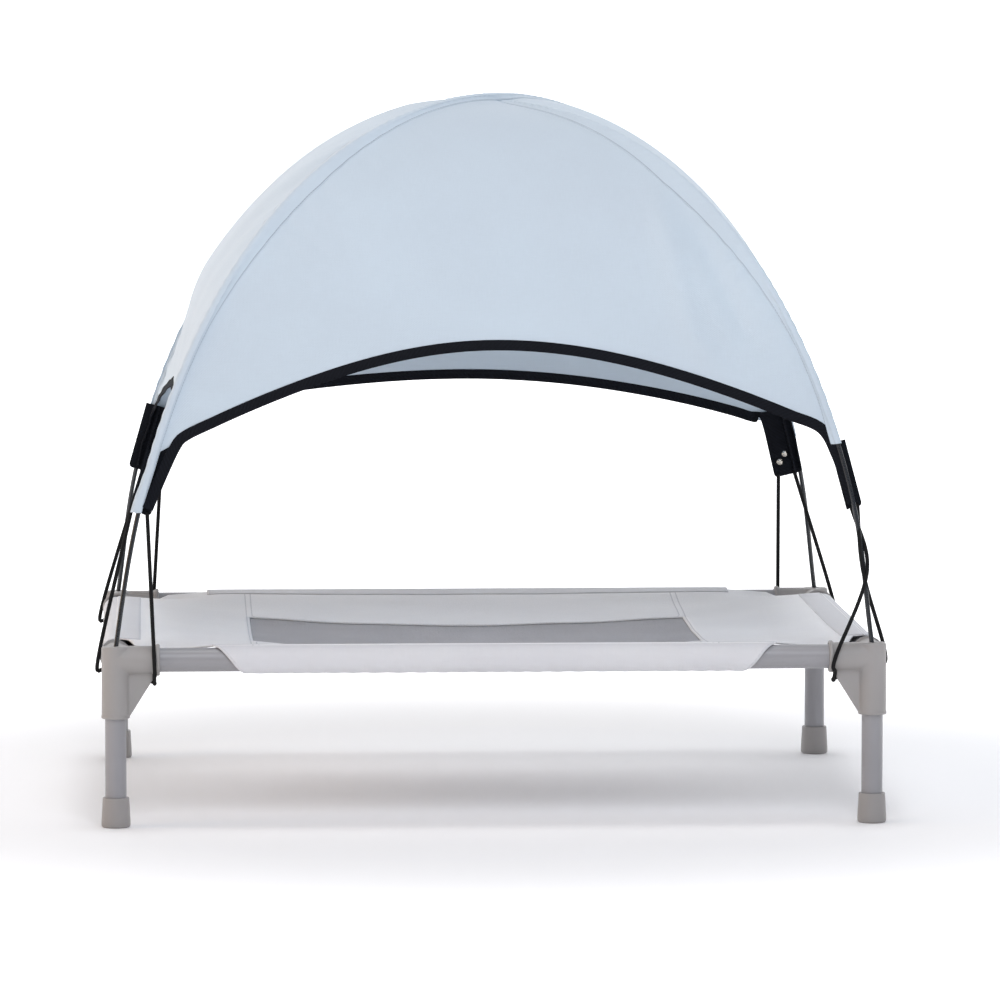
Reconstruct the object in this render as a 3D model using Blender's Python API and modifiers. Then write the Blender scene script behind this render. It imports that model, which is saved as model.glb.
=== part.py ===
"""A raised pet cot with a clip-on shade canopy on two crossing poles. Metres, +Z up, front at -Y."""
import bpy
import bmesh
import math
import numpy as np
from mathutils import Matrix, Vector

# cot frame
LEG_X = 0.3925
LEG_Y = 0.3035
FITTING_TOP = 0.188
SOCKET_BOTTOM = 0.113
SOCKET_R = 0.0143
RAIL_Z = 0.1735
RAIL_R = 0.0125
LEG_R = 0.011
TUBE_WALL = 0.0015
ARM_R = 0.0146
ARM_REACH = 0.046
FLANGE_R = 0.0165
FLANGE_LONG = 0.004
GUSSET_THICK = 0.007
ARM_STOP = 0.018
FIT_GAP = 0.0003
POLE_HOLE_R = 0.0047
POLE_HOLE_DEEP = 0.016
FOOT_HIGH = 0.031
FOOT_FLOOR = 0.008

# bed cover
CLOTH = 0.0012
SLEEVE_R = RAIL_R + FIT_GAP + CLOTH
COVER_SAG = 0.020
MESH_LEFT = -0.2475
MESH_RIGHT = 0.2295
MESH_Y = 0.1300
FRONT_SLEEVE_HALF = 0.272
SIDE_SLEEVE_HALF = 0.2295
CORNER_X = 0.360
CORNER_Y = 0.2840

# canopy poles
POLE_R = 0.0025
POLE_BASE_Z = 0.190
POLE_SET_IN = 0.0013
POLE_LEAN = 0.168
POLE_RISE = 0.505
POLE_CROWN = 0.108
APEX_Z = 0.7425
POLE_SPREAD = {"front_left": 0.003, "front_right": 0.0125, "rear_left": 0.012, "rear_right": 0.010}
APEX_X = 0.018
CROSSING_HALF = 0.0054
FERRULE_LONG = 0.040
FERRULE_IN = 0.0031
FERRULE_OUT = 0.0036
POLE_SLEEVE_R = 0.0050
POLE_SLEEVE_WALL = 0.0006
POLE_SLEEVE_Z = {"front_left": 0.325, "front_right": 0.392, "rear_left": 0.360, "rear_right": 0.360}

# canopy cloth: each hem's peak height, and its drop towards its first and second pole
GORE_THICK = 0.0010
BINDING_WIDE = 0.0105
BINDING_THICK = 0.0020
ARCHES = {
    "front": (0.4895, 0.112, 0.095),
    "rear": (0.4270, 0.040, 0.064),
    "left": (0.4520, 0.067, 0.067),
    "right": (0.4520, 0.067, 0.067),
}
SIDE_BULGE = {"front": 0.0, "rear": 0.0, "left": 0.021, "right": 0.012}

# corner tabs and elastic loops
TAB_BOTTOM = {"front_left": 0.3255, "front_right": 0.3255, "rear_left": 0.3290, "rear_right": 0.3225}
TAB_TOP = {"front_left": 0.3880, "front_right": 0.3880, "rear_left": 0.3900, "rear_right": 0.3900}
TAB_WIDE = {-1: 0.0190, 1: 0.0310}
TAB_SIDE_WIDE = 0.0150
TAB_THICK = 0.0024
TAB_IN = 0.0072
RIVETS = {-1: ((0.0135, 0.0140), (0.0135, 0.0240)), 1: ((0.0210, 0.0168), (0.0135, 0.0246))}
RIVET_HEAD_R = 0.004
RIVET_PIN_R = 0.0016
CORD_R = 0.0021
HOOK_REACH = 0.0395
HOOK_Z = 0.1485

CORNERS = {
    "front_left": (-1, -1),
    "front_right": (1, -1),
    "rear_left": (-1, 1),
    "rear_right": (1, 1),
}
MIRRORED = {-1: "left", 1: "right"}
BASE_R = math.hypot(LEG_X, LEG_Y)


def clearScene():
    for obj in list(bpy.data.objects):
        bpy.data.objects.remove(obj, do_unlink=True)


def newCollection(name, helper=False):
    made = bpy.data.collections.new(name)
    bpy.context.scene.collection.children.link(made)
    made.hide_render = helper
    return made


def newMaterial(name, color, roughness, metallic=0.0):
    mat = bpy.data.materials.new(name)
    mat.use_nodes = True
    shader = mat.node_tree.nodes["Principled BSDF"]
    shader.inputs["Base Color"].default_value = (*color, 1.0)
    shader.inputs["Roughness"].default_value = roughness
    shader.inputs["Metallic"].default_value = metallic
    return mat


clearScene()
PARTS = newCollection("pet_cot_with_canopy")
HELPERS = newCollection("cutters", helper=True)
PLASTIC = newMaterial("moulded_plastic", (0.33, 0.32, 0.32), 0.5)
PAINTED = newMaterial("painted_tube", (0.34, 0.33, 0.33), 0.35)
COVER = newMaterial("cover_cloth", (0.66, 0.66, 0.68), 0.85)
NETTING = newMaterial("mesh_cloth", (0.09, 0.09, 0.095), 0.8)
SHADE = newMaterial("canopy_cloth", (0.57, 0.65, 0.74), 0.7)
TAPE = newMaterial("black_tape", (0.012, 0.013, 0.016), 0.8)
GLASSROD = newMaterial("black_fibreglass", (0.015, 0.017, 0.02), 0.3)
STEEL = newMaterial("bright_steel", (0.72, 0.72, 0.73), 0.25, 1.0)
ELASTIC = newMaterial("black_elastic", (0.012, 0.012, 0.013), 0.75)


def smooth(mesh):
    """Round sides shaded smooth, edges sharper than 40 degrees kept."""
    mesh.shade_smooth()
    mesh.set_sharp_from_angle(angle=math.radians(40))


def addMesh(name, bm, mat, collection=None):
    """The bmesh as one object, faces out."""
    bmesh.ops.recalc_face_normals(bm, faces=bm.faces)
    mesh = bpy.data.meshes.new(name)
    bm.to_mesh(mesh)
    bm.free()
    smooth(mesh)
    obj = bpy.data.objects.new(name, mesh)
    (collection or PARTS).objects.link(obj)
    if mat:
        mesh.materials.append(mat)
    return obj


def addCylinder(name, radius, start, end, mat=None, sides=20, collection=None):
    start = Vector(start)
    along = Vector(end) - start
    turn = along.to_track_quat("Z", "Y").to_matrix().to_4x4()
    place = Matrix.Translation(start + along / 2) @ turn
    bm = bmesh.new()
    bmesh.ops.create_cone(
        bm, cap_ends=True, segments=sides, radius1=radius, radius2=radius,
        depth=along.length, matrix=place,
    )
    return addMesh(name, bm, mat, collection)


def meshOfCurve(name, data):
    """The curve's evaluated shape as a closed bmesh."""
    curve = bpy.data.objects.new(name + "_path", data)
    HELPERS.objects.link(curve)
    graph = bpy.context.evaluated_depsgraph_get()
    mesh = bpy.data.meshes.new_from_object(curve.evaluated_get(graph))
    bpy.data.objects.remove(curve, do_unlink=True)
    bm = bmesh.new()
    bm.from_mesh(mesh)
    bpy.data.meshes.remove(mesh)
    bmesh.ops.remove_doubles(bm, verts=bm.verts, dist=1e-6)
    return bm


def addOutline(name, points, thick, place, mat=None, collection=None):
    """A filled 2D curve in local X and Y, extruded both ways from its plane and put at place."""
    data = bpy.data.curves.new(name, "CURVE")
    data.dimensions = "2D"
    data.fill_mode = "BOTH"
    data.extrude = thick / 2
    spline = data.splines.new("POLY")
    spline.points.add(len(points) - 1)
    spline.points.foreach_set("co", [value for x, y in points for value in (x, y, 0, 1)])
    spline.use_cyclic_u = True
    bm = meshOfCurve(name, data)
    bmesh.ops.transform(bm, matrix=place, verts=bm.verts)
    return addMesh(name, bm, mat, collection)


def applyModifiers(obj):
    """The object's shape with its modifiers made real."""
    graph = bpy.context.evaluated_depsgraph_get()
    made = bpy.data.meshes.new_from_object(obj.evaluated_get(graph))
    old = obj.data
    smooth(made)
    obj.modifiers.clear()
    obj.data = made
    bpy.data.meshes.remove(old)


def boolean(obj, others, operation):
    for other in others:
        step = obj.modifiers.new(operation.lower(), "BOOLEAN")
        step.operation = operation
        step.solver = "EXACT"
        step.object = other
    applyModifiers(obj)
    for other in others:
        bpy.data.objects.remove(other, do_unlink=True)


def turned(name, profile, mat, steps=20):
    """A shape turned about Z from a closed profile of (radius, height) that lies at +X."""
    bm = bmesh.new()
    verts = [bm.verts.new((r, 0, z)) for r, z in profile]
    for a, b in zip(verts, verts[1:]):
        bm.edges.new((a, b))
    mesh = bpy.data.meshes.new(name)
    bm.to_mesh(mesh)
    bm.free()
    obj = bpy.data.objects.new(name, mesh)
    PARTS.objects.link(obj)
    mesh.materials.append(mat)
    spin = obj.modifiers.new("turn", "SCREW")
    spin.steps = steps
    spin.render_steps = steps
    spin.use_merge_vertices = True
    spin.merge_threshold = 0.00001
    return obj


def tubeAlong(name, path, radius, mat, sides=2, wall=0.0, mask=None):
    """A rod along a path, or with a wall a tube that is open at both ends."""
    data = bpy.data.curves.new(name, "CURVE")
    data.dimensions = "3D"
    data.bevel_depth = radius
    data.bevel_resolution = sides
    data.use_fill_caps = wall == 0.0
    spline = data.splines.new("POLY")
    spline.points.add(len(path) - 1)
    spline.points.foreach_set("co", np.c_[path, np.ones(len(path))].ravel())
    obj = addMesh(name, meshOfCurve(name, data), mat)
    if wall:
        shell = obj.modifiers.new("wall", "SOLIDIFY")
        shell.thickness = wall
        shell.offset = -1.0
    return obj


def surface(name, cols, rows, place, thick, mat):
    """A grid laid on a surface, place(u, v) for u and v from 0 to 1, thickened both ways."""
    bm = bmesh.new()
    bmesh.ops.create_grid(bm, x_segments=cols, y_segments=rows, size=0.5)
    for vert in bm.verts:
        vert.co = place(vert.co.x + 0.5, vert.co.y + 0.5)
    obj = addMesh(name, bm, mat)
    shell = obj.modifiers.new("thickness", "SOLIDIFY")
    shell.thickness = thick
    shell.offset = 0.0
    return obj


# ---- cot ----

def gussetOutline():
    high = RAIL_Z - ARM_R + 0.004
    low = SOCKET_BOTTOM + 0.002
    return [
        (0.006, low), (SOCKET_R - 0.001, low), (ARM_REACH - FLANGE_LONG, RAIL_Z - ARM_R - 0.0005),
        (ARM_REACH - FLANGE_LONG, high), (0.006, high),
    ]


def cornerFitting(name, sx, sy):
    """Upright socket with a round top, two level sockets with end flanges, and a web under each."""
    x, y = sx * LEG_X, sy * LEG_Y
    body = addCylinder(name, SOCKET_R, (x, y, SOCKET_BOTTOM), (x, y, FITTING_TOP), PLASTIC)
    arms, cutters = [], []
    for dx, dy in ((-sx, 0), (0, -sy)):
        def at(reach, dx=dx, dy=dy):
            return (x + dx * reach, y + dy * reach, RAIL_Z)
        arms.append(addCylinder("arm", ARM_R, at(0), at(ARM_REACH), collection=HELPERS))
        arms.append(addCylinder(
            "flange", FLANGE_R, at(ARM_REACH - FLANGE_LONG), at(ARM_REACH + 0.0002),
            collection=HELPERS))
        place = Matrix(((dx, 0, -dy, x), (dy, 0, dx, y), (0, 1, 0, 0), (0, 0, 0, 1)))
        arms.append(addOutline("web", gussetOutline(), GUSSET_THICK, place, collection=HELPERS))
        cutters.append(addCylinder(
            "bore", RAIL_R + FIT_GAP, at(ARM_STOP), at(ARM_REACH + 0.01), collection=HELPERS))
    cutters.append(addCylinder(
        "leg_bore", LEG_R + FIT_GAP, (x, y, SOCKET_BOTTOM - 0.01), (x, y, 0.158),
        collection=HELPERS))
    cutters.append(addCylinder(
        "pole_hole", POLE_HOLE_R, (x, y, FITTING_TOP - POLE_HOLE_DEEP), (x, y, FITTING_TOP + 0.01),
        sides=14, collection=HELPERS))
    boolean(body, arms, "UNION")
    boolean(body, cutters, "DIFFERENCE")


def hollowTube(name, radius, start, end, mat):
    """A straight tube, open at both ends."""
    along = (Vector(end) - Vector(start)).normalized()
    tube = addCylinder(name, radius, start, end, mat)
    bore = addCylinder(
        "bore", radius - TUBE_WALL, Vector(start) - along * 0.01, Vector(end) + along * 0.01,
        collection=HELPERS)
    boolean(tube, [bore], "DIFFERENCE")
    return tube


def footCap(name, x, y):
    """A flared cap with a chamfered sole, closed below and open above for the leg."""
    bore = LEG_R + FIT_GAP
    cap = turned(name, [
        (0, FOOT_FLOOR), (bore, FOOT_FLOOR), (bore, FOOT_HIGH), (0.0135, FOOT_HIGH),
        (0.0141, FOOT_HIGH - 0.001), (0.0150, 0.007), (0.0150, 0.002), (0.0138, 0), (0, 0),
    ], PLASTIC)
    applyModifiers(cap)
    bm = bmesh.new()
    bm.from_mesh(cap.data)
    bmesh.ops.recalc_face_normals(bm, faces=bm.faces)
    bm.to_mesh(cap.data)
    bm.free()
    cap.location = (x, y, 0)


def coverHeight(x, y):
    """Middle of the cover's cloth: level with the sleeves' tops at the rails, sagging between."""
    top = RAIL_Z + SLEEVE_R + FIT_GAP + CLOTH / 2
    across = 1 - (x / LEG_X) ** 2
    along = 1 - (y / LEG_Y) ** 2
    return top - COVER_SAG * np.clip(across, 0, 1) * np.clip(along, 0, 1)


def bedCover():
    """The cover's flat cloth, with its corners cut away and a window for the mesh panel."""
    half = [0.123, 0.29, CORNER_X, LEG_X]
    deep = [0, 0.065, MESH_Y, 0.2295, CORNER_Y, LEG_Y]
    xs = sorted({s * v for v in half for s in (-1, 1)} | {0, MESH_LEFT, MESH_RIGHT})
    ys = sorted({s * v for v in deep for s in (-1, 1)})
    bm = bmesh.new()
    grid = {}

    def vert(x, y):
        if (x, y) not in grid:
            grid[x, y] = bm.verts.new((x, y, coverHeight(x, y)))
        return grid[x, y]

    for x0, x1 in zip(xs, xs[1:]):
        for y0, y1 in zip(ys, ys[1:]):
            mx, my = abs(x0 + x1) / 2, abs(y0 + y1) / 2
            window = MESH_LEFT < (x0 + x1) / 2 < MESH_RIGHT and my < MESH_Y
            cut = (mx > 0.29 and my > CORNER_Y) or (mx > CORNER_X and my > 0.2295)
            if not window and not cut:
                bm.faces.new([vert(x0, y0), vert(x1, y0), vert(x1, y1), vert(x0, y1)])
    cover = addMesh("bed_cover", bm, COVER)
    shell = cover.modifiers.new("cloth", "SOLIDIFY")
    shell.thickness = CLOTH
    shell.offset = 0.0


def bedMesh():
    """The mesh panel that fills the cover's window, with the same sag."""
    def place(u, v):
        x = MESH_LEFT + FIT_GAP + u * (MESH_RIGHT - MESH_LEFT - 2 * FIT_GAP)
        y = (2 * v - 1) * (MESH_Y - FIT_GAP)
        return (x, y, coverHeight(x, y))
    surface("bed_mesh_panel", 4, 4, place, CLOTH, NETTING)


def coverSleeve(name, start, end):
    """One hemmed sleeve, a tube of cloth round its rail."""
    along = (Vector(end) - Vector(start)).normalized()
    sleeve = addCylinder(name, SLEEVE_R, start, end, COVER)
    bore = addCylinder(
        "bore", SLEEVE_R - CLOTH, Vector(start) - along * 0.01, Vector(end) + along * 0.01,
        collection=HELPERS)
    boolean(sleeve, [bore], "DIFFERENCE")


def buildCot():
    for corner, (sx, sy) in CORNERS.items():
        x, y = sx * LEG_X, sy * LEG_Y
        cornerFitting("corner_fitting_" + corner, sx, sy)
        hollowTube("leg_" + corner, LEG_R, (x, y, FOOT_FLOOR + FIT_GAP), (x, y, 0.1575), PAINTED)
        footCap("foot_" + corner, x, y)
    far_x = LEG_X - ARM_STOP - FIT_GAP
    far_y = LEG_Y - ARM_STOP - FIT_GAP
    for side, s in (("front", -1), ("rear", 1)):
        y = s * LEG_Y
        hollowTube("rail_" + side, RAIL_R, (-far_x, y, RAIL_Z), (far_x, y, RAIL_Z), PAINTED)
        coverSleeve(
            "cover_sleeve_" + side, (-FRONT_SLEEVE_HALF, y, RAIL_Z), (FRONT_SLEEVE_HALF, y, RAIL_Z))
    for side, s in (("left", -1), ("right", 1)):
        x = s * LEG_X
        hollowTube("rail_" + side, RAIL_R, (x, -far_y, RAIL_Z), (x, far_y, RAIL_Z), PAINTED)
        coverSleeve(
            "cover_sleeve_" + side, (x, -SIDE_SLEEVE_HALF, RAIL_Z), (x, SIDE_SLEEVE_HALF, RAIL_Z))
    bedCover()
    bedMesh()


# ---- canopy ----

def poleHalf(corner, t):
    """Points of a pole from its foot (t = 0) to the crossing (t = 1): a cubic curve in its own
    upright plane, bowed outwards by POLE_SPREAD, whose crossing is set over to APEX_X. One pole
    rides over the other."""
    sx, sy = CORNERS[corner]
    lift = CROSSING_HALF if sx == sy else -CROSSING_HALF
    t = np.atleast_1d(np.asarray(t, float))[:, None]
    foot = np.array([BASE_R - POLE_SET_IN, POLE_BASE_Z])
    rise = foot + POLE_RISE * np.array([-math.sin(POLE_LEAN), math.cos(POLE_LEAN)])
    top = np.array([0.0, APEX_Z + lift])
    crown = top + np.array([POLE_CROWN, 0.0])
    flat = (
        (1 - t) ** 3 * foot + 3 * t * (1 - t) ** 2 * rise
        + 3 * t ** 2 * (1 - t) * crown + t ** 3 * top
    )
    bow = POLE_SPREAD[corner] * 16 * (t[:, 0] * (1 - t[:, 0])) ** 2
    share = (flat[:, 0] + bow) / BASE_R
    return np.c_[
        sx * share * LEG_X + APEX_X * (1 - share), sy * share * LEG_Y, flat[:, 1]]


TABLE_T = np.linspace(0, 1, 401)
TABLES = {corner: poleHalf(corner, TABLE_T) for corner in CORNERS}


def tAtHeight(corner, z):
    """Curve parameter at which the pole half of this corner reaches a height."""
    return float(np.interp(z, TABLES[corner][:, 2], TABLE_T))


def wholePole(first, second, count=60):
    """A pole from below its first foot, over the crossing, to below its second foot."""
    t = np.linspace(0, 1, count)
    up = poleHalf(first, t)
    down = poleHalf(second, t)[::-1]
    foot = up[0] + (up[0] - up[1]) / np.linalg.norm(up[0] - up[1]) * 0.0145
    end = down[-1] + (down[-1] - down[-2]) / np.linalg.norm(down[-1] - down[-2]) * 0.0145
    return np.vstack([foot, up, down[1:], end])


def lengths(path):
    steps = np.linalg.norm(np.diff(path, axis=0), axis=1)
    return np.concatenate([[0.0], np.cumsum(steps)])


def cutPath(path, start, end, count):
    """The stretch of a path between two distances along it, in even steps."""
    far = lengths(path)
    s = np.linspace(start, end, count)
    return np.stack([np.interp(s, far, path[:, i]) for i in range(3)], axis=1)


def buildPole(name, first, second):
    """Three rods end to end, a ferrule over each joint, and the cloth sleeve round them."""
    path = wholePole(first, second)
    total = lengths(path)[-1]
    joints = (total / 3, 2 * total / 3)
    stops = (0.0, *joints, total)
    for i in range(3):
        start = stops[i] + (0.0002 if i else 0)
        end = stops[i + 1] - (0.0002 if i < 2 else 0)
        tubeAlong(f"{name}_section_{i + 1}", cutPath(path, start, end, 17), POLE_R, GLASSROD, 1)
    for i, middle in enumerate(joints):
        stretch = cutPath(path, middle - FERRULE_LONG / 2, middle + FERRULE_LONG / 2, 4)
        tubeAlong(
            f"{name}_ferrule_{i + 1}", stretch, FERRULE_OUT, STEEL, 1,
            wall=FERRULE_OUT - FERRULE_IN)
    far = lengths(path)
    low_first = float(np.interp(POLE_SLEEVE_Z[first], path[:55, 2], far[:55]))
    back = (total - far)[::-1][:55]
    low_second = total - float(np.interp(POLE_SLEEVE_Z[second], path[::-1][:55, 2], back))
    tubeAlong(
        name + "_sleeve", cutPath(path, low_first, low_second, 40), POLE_SLEEVE_R, SHADE, 1,
        wall=POLE_SLEEVE_WALL)


def unit(vector):
    return vector / np.linalg.norm(vector)


def gorePoint(first, second, u, t, bulge):
    """A point of the cloth stretched between two pole halves at the same curve parameter. Its
    edges stop clear of the pole sleeves, and a side gore swells outwards by bulge."""
    a = poleHalf(first, t)[0]
    b = poleHalf(second, t)[0]
    step = 0.002
    tangent = unit(poleHalf(first, min(t + step, 1))[0] - poleHalf(first, t - step)[0])
    chord = b - a
    width = np.linalg.norm(chord)
    lean = np.linalg.norm(np.cross(tangent, chord / width))
    inset = (POLE_SLEEVE_R + 0.0010) / lean / width
    at = inset + (1 - 2 * inset) * u
    point = a + chord * at
    outward = np.array([math.copysign(1.0, a[0] - APEX_X * 0.5), 0.0, 0.25])
    fade = min(1.0, (1 - t) * 5)
    return point + outward * bulge * 4 * u * (1 - u) * fade


def archHeight(side, u, above):
    """Height of the hem at share u of the way across, plus a width above it."""
    peak, first_drop, second_drop = ARCHES[side]
    drop = first_drop if u < 0.5 else second_drop
    return peak - drop * (2 * u - 1) ** 2 + above


def hemT(side, corner, u, above):
    return tAtHeight(corner, archHeight(side, u, above))


def buildGore(side, first, second):
    """One shade panel between two poles, and the tape that binds its arched hem."""
    bulge = SIDE_BULGE[side]
    top_t = 0.955

    def panel(u, v):
        low = hemT(side, first, u, BINDING_WIDE + 0.0008)
        return gorePoint(first, second, u, low + (top_t - low) * v, bulge)

    def tape(u, v):
        low = hemT(side, first, u, 0)
        high = hemT(side, first, u, BINDING_WIDE)
        return gorePoint(first, second, u, low + (high - low) * v, bulge)

    surface("gore_" + side, 14, 9, panel, GORE_THICK, SHADE)
    surface("hem_tape_" + side, 14, 1, tape, BINDING_THICK, TAPE)


def wingAxes(corner, z, way):
    """At a height on the pole: its point, then directions across a tab's wing towards way, up
    along the pole, and inward square to both."""
    sx, sy = CORNERS[corner]
    t = tAtHeight(corner, z)
    here = poleHalf(corner, t)[0]
    up = unit(poleHalf(corner, t + 0.01)[0] - poleHalf(corner, t - 0.01)[0])
    way = np.array(way, float)
    across = unit(way - up * (way @ up))
    inward = np.cross(across, up)
    if inward[:2] @ np.array([-sx, -sy]) < 0:
        inward = -inward
    return here, across, up, inward


def placeAt(origin, x_axis, y_axis, z_axis):
    frame = Matrix.Identity(4)
    for column, axis in enumerate((x_axis, y_axis, z_axis)):
        for row in range(3):
            frame[row][column] = axis[row]
    frame.translation = Vector(origin)
    return frame


def wingOutline(wide, high):
    start = TAB_IN - TAB_THICK / 2
    return [
        (start, 0), (wide - 0.005, 0), (wide - 0.0015, 0.0015), (wide, 0.005),
        (wide, high), (start, high),
    ]


def buildTab(corner):
    """The black tab, folded round the inside of the pole's foot end with one wing along each
    gore. Its front or rear wing takes two rivets, and the elastic loop hangs from both wings."""
    sx, sy = CORNERS[corner]
    bottom, top = TAB_BOTTOM[corner], TAB_TOP[corner]
    wings, ends = [], []
    for way, wide in (((-sx, 0, 0), TAB_WIDE[sy]), ((0, -sy, 0), TAB_SIDE_WIDE)):
        here, across, up, inward = wingAxes(corner, (bottom + top) / 2, way)
        high = (top - bottom) / up[2]
        origin = here + inward * TAB_IN - up * high / 2
        normal = np.cross(across, up)
        place = placeAt(origin, across, up, normal)
        wings.append(addOutline("wing", wingOutline(wide, high), TAB_THICK, place, TAPE))
        ends.append(origin + across * (wide - 0.0055) - up * (CORD_R + 0.0008))
        if len(wings) == 1:
            drill = [origin + across * a + up * b for a, b in RIVETS[sy]]
            facing = inward
    tab, other = wings
    tab.name = "tab_" + corner
    tab.data.name = tab.name
    boolean(tab, [other], "UNION")
    holes = []
    for number, centre in enumerate(drill):
        holes.append(addCylinder(
            "rivet_hole", RIVET_PIN_R + FIT_GAP, centre - facing * 0.0035, centre + facing * 0.0035,
            sides=12, collection=HELPERS))
        buildRivet(f"rivet_{corner}_{number + 1}", centre, facing)
    boolean(tab, holes, "DIFFERENCE")
    buildLoop(corner, ends)


def buildRivet(name, centre, inward):
    """A domed head on the tab's inner face, its pin and a flat head behind."""
    face = TAB_THICK / 2 + FIT_GAP
    dome = [
        (0.0, face + 0.0026), (0.0014, face + 0.0024), (0.0027, face + 0.0018),
        (0.0036, face + 0.0009), (RIVET_HEAD_R, face),
    ]
    profile = dome + [
        (RIVET_PIN_R, face), (RIVET_PIN_R, -face), (0.0026, -face), (0.0026, -face - 0.0006),
        (0.0, -face - 0.0006),
    ]
    rivet = turned(name, profile, STEEL, steps=10)
    applyModifiers(rivet)
    bm = bmesh.new()
    bm.from_mesh(rivet.data)
    side = Vector(inward).orthogonal().normalized()
    turn = placeAt(centre, side, Vector(inward).cross(side), inward)
    bmesh.ops.transform(bm, matrix=turn, verts=bm.verts)
    bmesh.ops.recalc_face_normals(bm, faces=bm.faces)
    bm.to_mesh(rivet.data)
    bm.free()


def smoothPath(points, count):
    """A rounded path through points, by Catmull-Rom curves, in even steps."""
    pts = np.array(points, float)
    ends = np.vstack([2 * pts[0] - pts[1], pts, 2 * pts[-1] - pts[-2]])
    t = np.linspace(0, 1, 12, endpoint=False)[:, None]
    parts = []
    for p0, p1, p2, p3 in zip(ends, ends[1:], ends[2:], ends[3:]):
        parts.append(0.5 * (
            2 * p1 + (p2 - p0) * t + (2 * p0 - 5 * p1 + 4 * p2 - p3) * t ** 2
            + (3 * p1 - p0 - 3 * p2 + p3) * t ** 3))
    path = np.vstack([*parts, pts[-1:]])
    return cutPath(path, 0, lengths(path)[-1], count)


def buildLoop(corner, ends):
    """The elastic loop: from one end of the tab, outside one arm, under its web, across the
    corner's inside, under the other web, and up outside the other arm."""
    sx, sy = CORNERS[corner]
    base = np.array([sx * LEG_X, sy * LEG_Y, 0.0])

    def local(p, q, z):
        return base + np.array([-sx * p, -sy * q, z])

    side_r = ARM_R + CORD_R + 0.0007
    low = HOOK_Z
    h = HOOK_REACH
    path = [
        ends[0],
        local(h, -side_r, RAIL_Z + 0.001), local(h, -0.0125, low + 0.0105),
        local(h, 0.0, low), local(h - 0.0010, 0.0085, low + 0.0005),
        local(0.0240, 0.0240, low + 0.003),
        local(0.0085, h - 0.0010, low + 0.0005), local(0.0, h, low),
        local(-0.0125, h, low + 0.0105), local(-side_r, h, RAIL_Z + 0.001),
        ends[1],
    ]
    tubeAlong("elastic_loop_" + corner, smoothPath(path, 40), CORD_R, ELASTIC, 1)


def hangOn(axis, names):
    """The objects as children of an empty, each left where it is."""
    bpy.context.view_layer.update()
    for name in names:
        obj = bpy.data.objects[name]
        obj.parent = axis
        obj.matrix_parent_inverse = axis.matrix_world.inverted()


def buildCanopy():
    buildPole("pole_a", "front_left", "rear_right")
    buildPole("pole_b", "front_right", "rear_left")
    buildGore("front", "front_left", "front_right")
    buildGore("rear", "rear_left", "rear_right")
    buildGore("left", "front_left", "rear_left")
    buildGore("right", "front_right", "rear_right")
    for corner in CORNERS:
        buildTab(corner)


def canopyAxis():
    """The upright line that the canopy lifts along, through the poles' crossing."""
    axis = bpy.data.objects.new("canopy_lift_axis", None)
    axis.empty_display_size = 0.1
    axis.location = (APEX_X, 0, POLE_BASE_Z)
    PARTS.objects.link(axis)
    return axis


buildCot()
cot_parts = {obj.name for obj in PARTS.objects}
buildCanopy()
canopy_parts = sorted(obj.name for obj in PARTS.objects if obj.name not in cot_parts)
hangOn(canopyAxis(), canopy_parts)
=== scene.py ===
import math
import bpy
import bmesh
import numpy as np
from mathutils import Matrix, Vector


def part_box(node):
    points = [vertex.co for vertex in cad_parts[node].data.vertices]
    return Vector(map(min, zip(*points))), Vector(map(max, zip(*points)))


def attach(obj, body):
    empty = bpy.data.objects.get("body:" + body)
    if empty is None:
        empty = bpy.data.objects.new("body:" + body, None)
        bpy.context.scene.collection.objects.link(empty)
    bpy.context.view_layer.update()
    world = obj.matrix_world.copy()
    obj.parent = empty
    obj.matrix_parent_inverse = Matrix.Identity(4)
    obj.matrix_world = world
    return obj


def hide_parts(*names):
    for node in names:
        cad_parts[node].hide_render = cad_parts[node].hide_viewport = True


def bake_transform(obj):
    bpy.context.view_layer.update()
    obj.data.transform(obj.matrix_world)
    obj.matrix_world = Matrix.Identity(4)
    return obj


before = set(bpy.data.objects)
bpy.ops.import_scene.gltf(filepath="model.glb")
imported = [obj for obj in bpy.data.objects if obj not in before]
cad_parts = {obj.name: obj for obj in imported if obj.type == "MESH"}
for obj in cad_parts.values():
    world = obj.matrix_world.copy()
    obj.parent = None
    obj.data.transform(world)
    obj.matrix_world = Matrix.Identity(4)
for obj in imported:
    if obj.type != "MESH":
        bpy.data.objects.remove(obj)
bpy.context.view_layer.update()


# the cot's own lines, read from the frame

def middle(node, axis):
    return float(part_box(node)[0][axis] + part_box(node)[1][axis]) / 2


legX, legY, railZ = middle("leg_front_right", 0), middle("leg_rear_left", 1), middle("rail_front", 2)
legR = float(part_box("leg_front_left")[1].x + legX)
fittingTop = 0.188
corners = {"front_left": (-1, -1), "front_right": (1, -1), "rear_left": (-1, 1), "rear_right": (1, 1)}


# colour and node helpers

def linear(hexCode, alpha=1.0):
    # sRGB hex to linear: a straight part near black, a 2.4 power above it
    parts = [int(hexCode[i:i + 2], 16) / 255 for i in (0, 2, 4)]
    return (*[c / 12.92 if c <= 0.04045 else ((c + 0.055) / 1.055) ** 2.4 for c in parts], alpha)


def add(tree, kind, inputs=None, **settings):
    # one node: settings are its own options, inputs are values or sockets by name or number
    made = tree.nodes.new(kind)
    for name, value in settings.items():
        setattr(made, name, value)
    for name, value in (inputs or {}).items():
        if isinstance(value, bpy.types.NodeSocket):
            tree.links.new(value, made.inputs[name])
        else:
            made.inputs[name].default_value = value
    return made


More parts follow.
